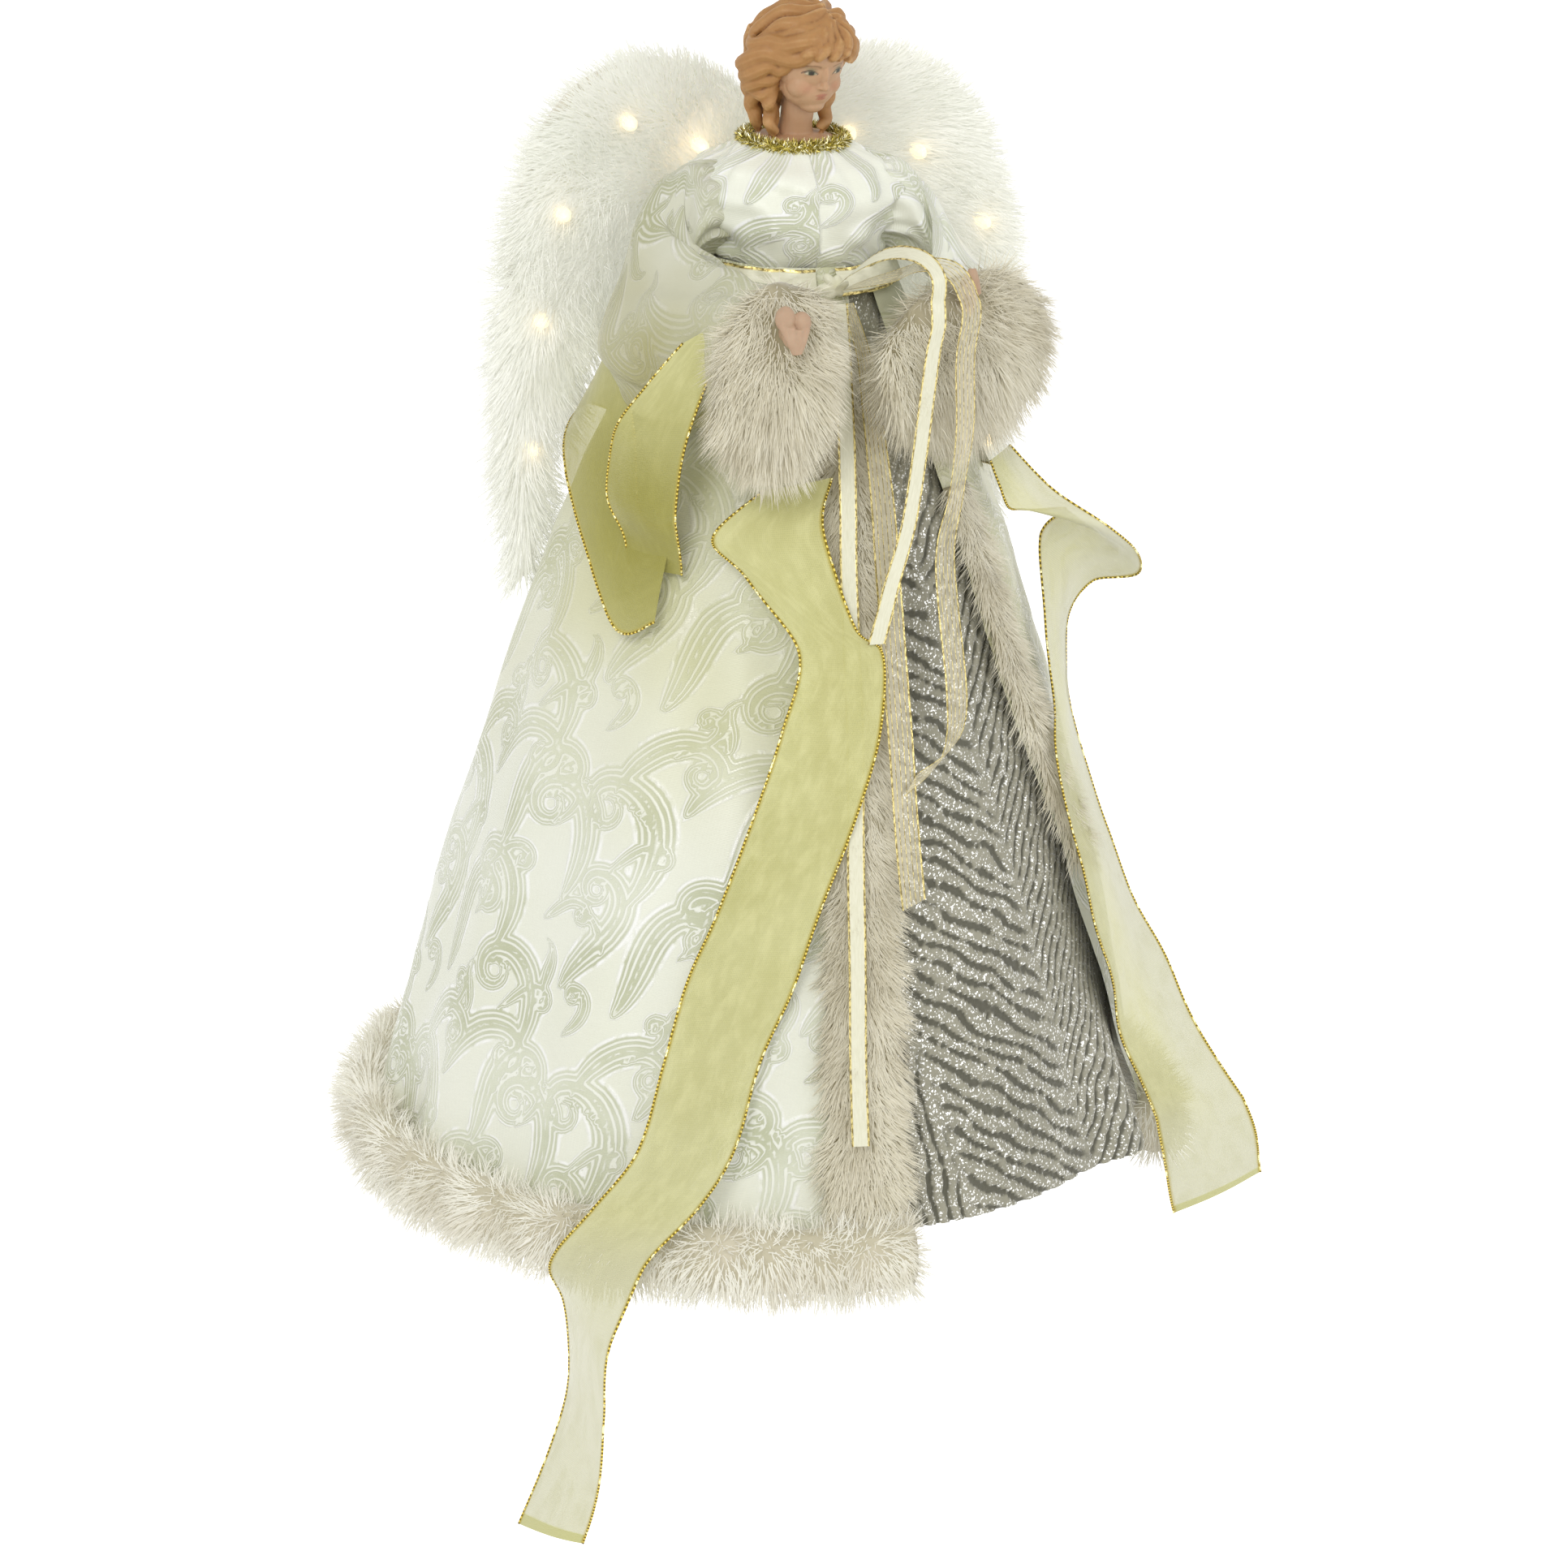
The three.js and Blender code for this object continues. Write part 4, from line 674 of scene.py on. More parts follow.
def pile_finish(name, root, body, tip, warm, lift):
    """Hair: painted shade makes it darker and warmer at the root, pale at the tip, with a tone of its own
    in each hair. The lift is painted light, a faint glow in the hair's own colour that stands for the
    light that goes through real hairs."""
    hair = Finish(name, Roughness=0.7, Sheen_Weight=0.6, Sheen_Roughness=0.5, Emission_Strength=lift)
    along = hair.mark("tip")
    own = hair.mark("hair")
    cloud = hair.noise(hair.place(), 55, 3, 0.6)
    # painted shade deep in the pile: the root colour
    colour = hair.mix(hair.fade(along, 0.0, 0.45), root, body)
    colour = hair.mix(hair.fade(along, 0.4, 1.0), colour, tip)
    colour = hair.mix(hair.sum("MULTIPLY", hair.fade(cloud, 0.42, 0.68), 0.55), colour, warm)
    colour = hair.mix(hair.sum("MULTIPLY", own, 0.22), colour, tip)
    # painted light: the hair glows faintly in its own colour
    hair.set("Base Color", colour).set("Emission Color", colour)
    hair.relief(hair.noise(hair.place(), 1800, 2), 0.3, 0.0003)
    return hair


ivory_fur = pile_finish("ivory_fur", root=dye(190, 183, 158), body=dye(238, 236, 224),
                        tip=dye(252, 251, 244), warm=dye(212, 205, 184), lift=0.09)
# painted shade: a darker, yellower copy of the same fur, for the fronts and the cuffs
dusky_fur = pile_finish("dusky_fur", root=dye(148, 139, 108), body=dye(222, 216, 194),
                        tip=dye(245, 242, 229), warm=dye(192, 183, 155), lift=0.08)


def full_turn(steps):
    return np.linspace(0, 2 * np.pi, steps, endpoint=False)


def around(outs, ups, out_share, up_share):
    """Offsets across a line, from the two directions that stand on it at each of its points."""
    return outs[:, None, :] * out_share[..., None] + ups[:, None, :] * up_share[..., None]


def tube_grid(centres, outs, ups, half_out, half_up, sides):
    """Rings of a roll round its middle line, with their outward normals."""
    angle = full_turn(sides)
    half_out, half_up = np.reshape(half_out, (-1, 1)), np.reshape(half_up, (-1, 1))
    shape = around(outs, ups, np.cos(angle) * half_out, np.sin(angle) * half_up)
    return centres[:, None, :] + shape, around(outs, ups, np.cos(angle), np.sin(angle))


def closed_roll(rows, columns):
    """The faces of a roll of rings with both its ends closed."""
    return [*grid_faces(rows, columns, True).tolist(), list(range(columns))[::-1],
            list(range((rows - 1) * columns, rows * columns))]


hem_steps, hem_sides = 260, 16
hem_degrees = np.linspace(70.5, float(near_edge(robe_low)), hem_steps)
hem_swell = soft_noise(hem_degrees / 14, hem_degrees * 0, 31)
hem_outs = polar(hem_degrees, 1.0, 0.0)
hem_ups = np.broadcast_to([0.0, 0.0, 1.0], hem_outs.shape)
hem_middle = polar(hem_degrees, 136.6, -5.8)
hem_points, _ = tube_grid(hem_middle, hem_outs, hem_ups, 8.2 + 0.8 * hem_swell, 11.6 + 1.2 * hem_swell,
                          hem_sides)
hem_angle = full_turn(hem_sides)
hem_along = polar(hem_degrees + 90, 1.0, 0.0)
hem_swirl = soft_noise(hem_degrees / 9, hem_degrees * 0, 44)
hem_rise = 0.95 * np.clip(np.sin(hem_angle), 0, 1) - 0.75
hem_comb = (around(hem_outs, hem_ups, 0.5 * np.cos(hem_angle), hem_rise)
            + hem_along[:, None, :] * (0.45 * hem_swirl)[:, None, None])
hem_thick = np.broadcast_to(np.where(np.cos(hem_angle) > -0.5, 1.0, 0.35), (hem_steps, hem_sides))
hem_backing = make_piece("hem_backing", hem_points, closed_roll(hem_steps, hem_sides), ivory_fur,
                         comb=hem_comb, thick=hem_thick, long=np.ones(hem_thick.shape))
hem_fur = settle(hem_backing, grown_pile, "hem_fur", Hairs_per_m2=700000.0, Length=0.0095, Width=0.00042,
                 Lean=0.66, Stray=0.27, Sag=0.2, Tuft=95.0, Tuft_pull=1.35, Seed=3, Hair=ivory_fur.material)
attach(hem_fur, "root")
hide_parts("robe_hem_fur")

strip_rows, strip_sides, strip_half_wide, strip_deep = 120, 14, 13.2, 5.4
strip_section = full_turn(strip_sides)
front_strips = [  # piece, node, middle, lowest and highest point, fullness, seed
    ("front_fur_right", "robe_front_fur_right", lambda height: near_edge(height) - 6, 4, 278, 1.0, 5),
    ("front_fur_left", "robe_front_fur_left", lambda height: far_edge(height) + 6, 99, 230, 0.7, 6),
]
for strip_name, strip_node, strip_middle, strip_low, strip_high, fullness, strip_seed in front_strips:
    heights = np.linspace(strip_low, strip_high, strip_rows)
    size = (1 + (0.62 - 1) * heights / waist_height) * fullness
    swell = 1 + 0.1 * soft_noise(heights / 16, heights * 0, strip_seed)
    across = np.cos(strip_section) * (strip_half_wide * size * swell)[:, None]
    proud = np.clip(np.sin(strip_section), -0.05, 1) * (strip_deep * size * swell)[:, None]
    middle = strip_middle(heights)[:, None]
    base = robe_top(heights)[:, None]
    points = polar(middle + np.degrees(across / base), base + proud, heights[:, None])
    outs, sides = polar(middle[:, 0], 1.0, 0.0), polar(middle[:, 0] + 90, 1.0, 0.0)
    swirl = soft_noise(heights / 11, heights * 0, strip_seed + 2)
    comb = (sides[:, None, :] * (np.cos(strip_section)[None, :, None] * 0.62 + 0.3 * swirl[:, None, None])
            + np.array([0, 0, -0.72]) + outs[:, None, :] * 0.12)
    thick = np.broadcast_to(np.where(np.sin(strip_section) > -0.05, 1.0, 0.0), comb.shape[:2])
    long = np.full(thick.shape, 0.8 + 0.2 * fullness)
    backing = make_piece(strip_name + "_backing", points, closed_roll(strip_rows, strip_sides), dusky_fur,
                         comb=comb, thick=thick, long=long)
    strip = settle(backing, grown_pile, strip_name, Hairs_per_m2=1900000.0, Length=0.0095, Width=0.00036,
                   Lean=0.72, Stray=0.2, Sag=0.1, Tuft=95.0, Tuft_pull=1.0, Seed=strip_seed,
                   Hair=dusky_fur.material)
    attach(strip, "root")
    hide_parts(strip_node)


# Bodice: brocade pulled over the foam core and gathered into the neck, with a few pulls towards the
# armholes. It goes under the waist ribbon.

# a lighter copy for the bodice, with a little painted shade near the waist
bodice_brocade = brocade_finish("bodice_brocade", 1.04, (0.295, 0.31), (0.35, 0.02), (206, 203, 152))
bodice_half, bodice_front, bodice_back, bodice_high = 28.5, 32.6, 28.4, 33.7
bodice_columns = 220


def smooth_rows(rows, steps):
    """Rows of numbers joined by smooth curves through each of them."""
    rows = np.asarray(rows, float)
    at = np.linspace(0, len(rows) - 1, (len(rows) - 1) * steps + 1)
    i = np.minimum(at.astype(int), len(rows) - 2)
    t = (at - i)[:, None]
    before, here, ahead, beyond = (rows[np.clip(i + k, 0, len(rows) - 1)] for k in (-1, 0, 1, 2))
    slope_in, slope_out = (ahead - before) / 2, (beyond - here) / 2
    bend = 2 * (here - ahead) + slope_in + slope_out
    return here + t * (slope_in + t * (3 * (ahead - here) - 2 * slope_in - slope_out + t * bend))


bodice_rows = smooth_rows([  # rise, half width, front and back, as shares
    (-0.08, 1.0, 0.92, 0.98), (0.2, 1.1, 1.06, 0.99), (0.45, 1.22, 1.07, 0.97), (0.68, 1.26, 1.0, 0.95),
    (0.84, 1.1, 0.86, 0.86), (0.95, 0.82, 0.68, 0.7), (1.07, 0.55, 0.5, 0.56)], 9)
bodice_turn = full_turn(bodice_columns)[None, :]
bodice_height = waist_height + 0.6 + bodice_high * bodice_rows[:, :1]
bodice_deep = np.where(np.cos(bodice_turn) > 0, bodice_front * bodice_rows[:, 2:3],
                       bodice_back * bodice_rows[:, 3:4])
bodice_x = bodice_half * bodice_rows[:, 1:2] * np.sin(bodice_turn)
bodice_y = -bodice_deep * np.cos(bodice_turn)
bodice_flat = (bodice_turn * 28 + 60, bodice_height * 1.25 + 20)
bodice_frond = frond_distance(bodice_flat[0] * 1.3, bodice_flat[1] * 1.3)
armhole_pull = np.exp(-((np.abs(np.sin(bodice_turn)) - 1) / 0.28) ** 2)
bodice_crease = (1.5 * np.sin(bodice_height * 0.62 + 5 * np.cos(bodice_turn)) * armhole_pull
                 + 1.0 * soft_noise(bodice_turn * 1.6, bodice_height / 13, 61))
neck_gather = 0.6 * np.sin(bodice_turn * 27 + 1.5 * np.sin(bodice_turn * 5))
neck_gather = neck_gather * np.clip((bodice_height - 322) / 12, 0, 1)
bodice_out = 1 + (bodice_crease + neck_gather + 0.3 * np.clip(1.1 - bodice_frond, 0, 1)) / 28
bodice_points = together(bodice_x * bodice_out, bodice_y * bodice_out, bodice_height)
bodice = make_piece("bodice_cloth", bodice_points, grid_faces(len(bodice_rows), bodice_columns, True),
                    bodice_brocade, together(*bodice_flat) * 0.001, frond=bodice_frond)
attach(bodice, "root")
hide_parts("bodice")


# Sleeves: full bell sleeves of the same brocade, gathered at the armhole, bent at the elbow and
# brought forward to the cuffs. The cap of each stays on the bodice.

shoulder_out, shoulder_back, shoulder_height = 28.6, -4, 316
arms = {  # the rows give out, ahead, down, half width, half height, lean and turn
    "right": dict(side=-1, hand=(-26, -92, 297), reach=72, half_wide=16, half_high=23, spread=27, drop=36,
                  cloth=(0.13, 0.11), rows=[
        (0.3, 0, 0.06, 0.86, 0.58, 6, 84), (0.72, 0.03, 0.42, 0.86, 0.98, 16, 66),
        (0.86, 0.16, 0.86, 0.86, 1.16, 18, 38), (0.66, 0.42, 1.0, 0.9, 1.18, 14, 14),
        (0.3, 0.72, 1.0, 0.95, 1.08, 8, -4), (-0.06, 1.0, 1.0, 1, 1, 3, -12)]),
    "left": dict(side=1, hand=(42.5, -62, 300), reach=42, half_wide=40, half_high=19, spread=16.4,
                 drop=40, cloth=(0.12, 0.08), rows=[
        (0.5, 0.02, 0.06, 0.33, 0.64, 6, 84), (1.2, 0.1, 0.35, 0.4, 0.95, 12, 70),
        (1.5, 0.34, 0.72, 0.56, 1.1, 14, 55), (1.3, 0.66, 0.96, 0.8, 1.08, 6, 42), (1, 1, 1, 1, 1, 0, 37)]),
}


def sleeve_frames(arm, steps):
    """Middle, across and upright directions and half sizes of a sleeve's rings, cap first."""
    rows, side = np.array(arm["rows"], float), arm["side"]
    out, ahead, down = rows[:, :3].T
    lean, turn = np.radians(rows[:, 5:]).T
    frames = np.concatenate([
        together(side * (shoulder_out + arm["spread"] * out), shoulder_back - arm["reach"] * ahead,
                 shoulder_height - arm["drop"] * down),
        together(side * np.cos(turn), np.sin(turn), 0.0),
        together(-side * np.sin(lean), 0.0, np.cos(lean)),
        rows[:, 3:4] * arm["half_wide"], rows[:, 4:5] * arm["half_high"]], 1)
    cap = np.concatenate([[side * 19.0, -3, shoulder_height], [0, 1, 0], [0, 0, 1], [15.5, 14.5]])
    frames = smooth_rows(np.vstack([cap, frames]), steps)
    return frames[:, :3], frames[:, 3:6], frames[:, 6:9], frames[:, 9:10], frames[:, 10:11]


def run_along(line):
    """How far each point of a line lies from its start, along the line."""
    return np.concatenate([[0], np.cumsum(np.linalg.norm(np.diff(line, axis=0), axis=1))])


# lit and shaded copies: the right sleeve is darker and takes dark olive painted shade low down, the left is
# lighter with little
sleeve_brocades = {
    "right": brocade_finish("right_sleeve_brocade", 0.98, (0.262, 0.334), (0.95, 0.22), (160, 153, 84)),
    "left": brocade_finish("left_sleeve_brocade", 1.03, (0.262, 0.3), (0.3, 0.05), (190, 186, 132)),
}
sleeve_cuts = {"right": (40, 71), "left": (90, 72)}  # where the repeat starts, and the creases' seed
sleeves = {}
for arm_name, arm in arms.items():
    middle, across, upright, half_wide, half_high = sleeve_frames(arm, 20)
    rings, sides = len(middle), 180
    angle = full_turn(sides)[None, :]
    along = run_along(middle)[:, None]
    share = along / along[-1]
    repeat_start, crease_seed = sleeve_cuts[arm_name]
    flat_x = angle * 22 + repeat_start
    flat_y = along * 1.25 + 15
    frond = frond_distance(flat_x * 1.1, flat_y * 1.1)
    puff = 3.0 * np.exp(-((share - 0.2) / 0.13) ** 2)
    gathers = 0.75 * np.sin(angle * 15 + 1.6 * np.sin(angle * 3)) * np.exp(-(share / 0.16) ** 2)
    drape = 2.1 * np.sin(angle * 5 + 3.2 * share * np.pi + 0.8 * np.sin(2 * angle))
    drape = drape * np.sin(np.pi * share) ** 0.8
    crumple = 1.3 * soft_noise(angle * 1.5, share * 2.6, crease_seed)
    proud = puff + gathers + drape + crumple + 0.3 * np.clip(1.1 - frond, 0, 1)
    points = middle[:, None, :] + around(across, upright, (half_wide + proud) * np.sin(angle),
                                         (half_high + proud) * np.cos(angle))
    sleeve = make_piece(f"sleeve_cloth_{arm_name}", points, grid_faces(rings, sides, True),
                        sleeve_brocades[arm_name], together(flat_x, flat_y) * 0.001, frond=frond)
    if arm["side"] > 0:
        sleeve.data.flip_normals()
    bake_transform(sleeve)
    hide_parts(f"sleeve_{arm_name}")
    sleeves[arm_name] = (middle, across, upright, half_wide, half_high)


# Cuffs: a muff of the same plush at each sleeve's mouth, brushed outwards and down so that it hides
# the opening. The hair is longest below the hand.

cuff_pile = {"right": (2100000.0, 8), "left": (1500000.0, 9)}  # hairs per square metre, and their seed
for arm_name, arm in arms.items():
    middle, across, upright, half_wide, half_high = (part[-1] for part in sleeves[arm_name])
    ahead = np.cross(across, upright)
    ahead = ahead / np.linalg.norm(ahead)
    ahead = ahead if ahead[1] < 0 else -ahead
    rings, sides = 40, 56
    angle = full_turn(sides)[None, :]
    lift = np.linspace(-0.5, 1.5, rings)[:, None]
    reach = np.cos(lift.clip(-0.5, np.pi / 2 - 0.03))
    swell = 1 + 0.05 * soft_noise(np.sin(angle) * 1.3, np.cos(angle) * 1.3 + lift, 81)
    out = across * np.sin(angle)[..., None] + upright * np.cos(angle)[..., None]
    points = (middle + ahead * (1.5 + 10.5 * np.sin(lift))[..., None]
              + across * ((half_wide + 4.5) * reach * swell * np.sin(angle))[..., None]
              + upright * ((half_high + 5.5) * reach * swell * np.cos(angle))[..., None])
    comb = (out * 0.4 + ahead * 0.12 + np.array([0, 0, -0.85])) * np.ones((rings, sides, 1))
    hand_gap = np.linalg.norm(points - arm["hand"], axis=-1)
    bare = np.clip(hand_gap / 9 - 0.6, 0, 1)
    long = (0.8 + 0.5 * np.clip(-np.cos(angle), 0, 1) * np.ones((rings, 1))) * (0.45 + 0.55 * bare)
    thick = np.ones((rings, sides)) * np.clip(0.75 + 0.3 * np.cos(lift), 0, 1) * bare
    backing = make_piece(f"cuff_backing_{arm_name}", points, closed_roll(rings, sides), dusky_fur,
                         comb=comb, thick=thick, long=long)
    hairs, pile_seed = cuff_pile[arm_name]
    muff = settle(backing, grown_pile, f"cuff_muff_{arm_name}", Hairs_per_m2=hairs, Length=0.0132,
                  Width=0.0004, Lean=0.7, Stray=0.26, Sag=0.28, Tuft=85.0, Tuft_pull=1.15, Seed=pile_seed,
                  Hair=dusky_fur.material)
    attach(muff, f"arm_{arm_name}")
    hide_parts(f"cuff_fur_{arm_name}")


# Hands: small matt bisque castings on the arm wires. The right one is a closed hand seen from the
# knuckles, with its fingertips pointing down, and the left one points up.

def ball(middle, halves, turn=None):
    """Points and faces of an egg with these half sizes, turned by a 3 by 3 matrix."""
    draft = bmesh.new()
    bmesh.ops.create_icosphere(draft, subdivisions=3, radius=1)
    points = np.array([v.co[:] for v in draft.verts]) * np.asarray(halves)
    faces = [[v.index for v in f.verts] for f in draft.faces]
    draft.free()
    return (points if turn is None else points @ np.asarray(turn).T) + np.asarray(middle), faces


def rope(path, radii, sides=10):
    """Points and faces of a round strand along a path whose radius changes."""
    path, radii = np.asarray(path, float), np.asarray(radii, float)
    ahead = np.gradient(path, axis=0)
    ahead /= np.linalg.norm(ahead, axis=1)[:, None]
    first = np.cross(ahead, (0.31, 0.22, 0.93))
    first /= np.linalg.norm(first, axis=1)[:, None]
    second = np.cross(ahead, first)
    angle = full_turn(sides)
    rings = path[:, None, :] + radii[:, None, None] * around(first, second, np.cos(angle), np.sin(angle))
    return rings.reshape(-1, 3), closed_roll(len(path), sides)


def cast(name, forms, voxel, soften):
    """One casting from overlapping forms: they are fused, and their creases are softened."""
    points, faces, start = [], [], 0
    for form_points, form_faces in forms:
        points.append(form_points)
        faces += [[i + start for i in face] for face in form_faces]
        start += len(form_points)
    mould = bpy.data.meshes.new(name + "_mould")
    mould.from_pydata((np.concatenate(points) * 0.001).tolist(), [], faces)
    body = new_object(name + "_mould", mould)
    fuse = body.modifiers.new("fuse", "REMESH")
    fuse.mode, fuse.voxel_size, fuse.use_smooth_shade = "VOXEL", voxel * 0.001, True
    smooth = body.modifiers.new("soften", "SMOOTH")
    smooth.factor, smooth.iterations = 0.5, soften
    graph = bpy.context.evaluated_depsgraph_get()
    graph.update()
    mesh = bpy.data.meshes.new_from_object(body.evaluated_get(graph), depsgraph=graph)
    mesh.name = name
    bpy.data.objects.remove(body, do_unlink=True)
    return new_object(name, mesh)


def paint_points(mesh, mark, values):
    """Keeps one value for each point of a mesh, for its finish to read."""
    layer = mesh.attributes.new(mark, "FLOAT", "POINT")
    layer.data.foreach_set("value", np.asarray(values, np.float32))


def mesh_points(mesh):
    points = np.empty(len(mesh.vertices) * 3)
    mesh.vertices.foreach_get("co", points)
    return points.reshape(-1, 3)


def hollows(mesh, rounds):
    """How far each point lies in a groove: how much higher the surface round it is on average."""
    points = mesh_points(mesh)
    edges = np.empty(len(mesh.edges) * 2, np.int64)
    mesh.edges.foreach_get("vertices", edges)
    first, second = edges.reshape(-1, 2).T
    normals = np.empty(len(mesh.vertices) * 3)
    mesh.vertices.foreach_get("normal", normals)
    count = np.bincount(first, minlength=len(points)) + np.bincount(second, minlength=len(points))
    soft = points.copy()
    for _ in range(rounds):
        total = np.stack([np.bincount(first, soft[second, k], len(points))
                          + np.bincount(second, soft[first, k], len(points)) for k in range(3)], -1)
        soft = total / np.maximum(count, 1)[:, None]
    return ((soft - points) * normals.reshape(-1, 3)).sum(1) * 1000


hand_bisque = Finish("hand_bisque", Roughness=0.62, Subsurface_Weight=0.08, Subsurface_Scale=0.002)
hand_cloud = hand_bisque.noise(hand_bisque.place(), 320, 3)
hand_colour = hand_bisque.mix(hand_cloud, dye(178, 146, 118), dye(196, 166, 138))
# painted shade: the creases between the fingers and at the wrist are darkened
hand_crease_shade = hand_bisque.fade(hand_bisque.mark("groove"), 0.02, 0.3)
hand_bisque.set("Base Color", hand_bisque.mix(hand_crease_shade, hand_colour, dye(140, 106, 80)))
hand_bisque.relief(hand_bisque.noise(hand_bisque.place(), 2400, 2), 0.15, 0.0002)

hand_forms = {  # place and half sizes
    "right": [((-2.7, 0.2, 3.4), (3.3, 3.2, 4.2)), ((2.8, 0.6, 1.8), (3.2, 3.0, 3.7)),
              ((0.2, 0.4, -2.2), (3.7, 2.9, 4.4))],
    "left": [((0, 1.0, -1.5), (3.4, 2.9, 4.2)), ((-0.4, 0.4, 1.2), (2.9, 2.6, 3.6))],
}
finger_roots = {"right": [(-4.2, -1.2, 2.4), (-1.6, -2.0, 1.2), (1.2, -2.0, 0.4), (3.8, -1.2, 0.6)],
                "left": [(-2.2, -1.4, 0), (-0.6, -1.8, 0.4), (1.0, -1.6, 0), (2.6, 0.4, -2.0)]}
finger_tips = {"right": (1.2, -1.6, -7.8), "left": (0.4, -0.6, 6.6)}
wrists = {"right": (-28.1, -76, 289), "left": (43.4, -56, 290)}
for arm_name, arm in arms.items():
    hand_place = np.array(arm["hand"], float)
    forms = [ball(hand_place + spot, halves) for spot, halves in hand_forms[arm_name]]
    for root in finger_roots[arm_name]:
        root, tip = np.array(root), np.array(finger_tips[arm_name])
        tip = tip + (root - tip) * (0.16, 0.1, 0.0)
        path = [root, root * 0.45 + tip * 0.55 + (0, -0.7, 0), tip]
        forms.append(rope(hand_place + smooth_rows(path, 8), np.linspace(1.6, 0.95, 17)))
    wrist = np.array(wrists[arm_name])
    forms.append(rope([wrist, (wrist + hand_place) / 2, hand_place + (0, 1, 0)], (2.8, 2.8, 2.9)))
    hand = cast(f"bisque_hand_{arm_name}", forms, 0.35, 4)
    hand.data.materials.append(hand_bisque.material)
    paint_points(hand.data, "groove", hollows(hand.data, 4))
    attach(hand, f"arm_{arm_name}")
    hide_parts(f"hand_{arm_name}")


# Head: one matt bisque casting with a shoulder plate. The hair is moulded in side-swept waves and
# long curls, and the face is painted. It is turned to the angel's left and bowed.

head_middle = np.array([0.0, -4.8, 363.6])
head_turn, head_bow, head_size = math.radians(17), math.radians(16), 0.94
turn_left = np.array([[math.cos(head_turn), -math.sin(head_turn), 0],
                      [math.sin(head_turn), math.cos(head_turn), 0], [0, 0, 1]])
bow = np.array([[1, 0, 0], [0, math.cos(head_bow), -math.sin(head_bow)],
                [0, math.sin(head_bow), math.cos(head_bow)]])
head_frame = turn_left @ bow * head_size


def on_head(points):
    """From the head's own places, aside, behind and up, to the angel's."""
    return np.asarray(points, float) @ head_frame.T + head_middle


face_forms = [  # place and half sizes
    # skull, jaw, chin, cheeks and brow
    ((0.3, -4.0, 3.4), (12.4, 12.2, 13.4)), ((0, -6.4, -4.8), (9.9, 9.9, 8.4)),
    ((0, -10.8, -10.0), (4.9, 4.6, 3.6)),
    ((5.6, -9.8, -3.0), (4.9, 5.0, 5.0)), ((-5.6, -9.8, -3.0), (4.9, 5.0, 5.0)),
    ((0, -13.8, 8.0), (7.6, 2.8, 4.0)),
    # nose, lips and the lids of both eyes
    ((0, -16.0, 2.4), (1.2, 1.6, 3.8)), ((0, -16.9, -1.1), (1.55, 1.9, 1.6)),
    ((1.35, -16.0, -1.7), (1.0, 1.05, 0.85)), ((-1.35, -16.0, -1.7), (1.0, 1.05, 0.85)),
    ((0, -14.9, -4.8), (2.7, 1.3, 0.75)), ((0, -14.7, -6.2), (2.3, 1.25, 0.75)),
    ((0, -13.4, -5.5), (4.6, 1.7, 2.9)),
    ((5.1, -13.0, 3.3), (2.8, 1.7, 1.8)), ((-5.1, -13.0, 3.3), (2.8, 1.7, 1.8)),
]
plate_middle, plate_halves = (0, 0.5, 335.6), (15.6, 15.2, 4.6)
neck_path = smooth_rows([(0.6, -2.4, 352), (0.3, -1.8, 345), (0, -0.6, 339.5), plate_middle], 6)
neck_radii = np.interp(np.linspace(0, 1, 19), (0, 0.4, 0.7, 1), (5.6, 5.4, 6.4, 9.0))

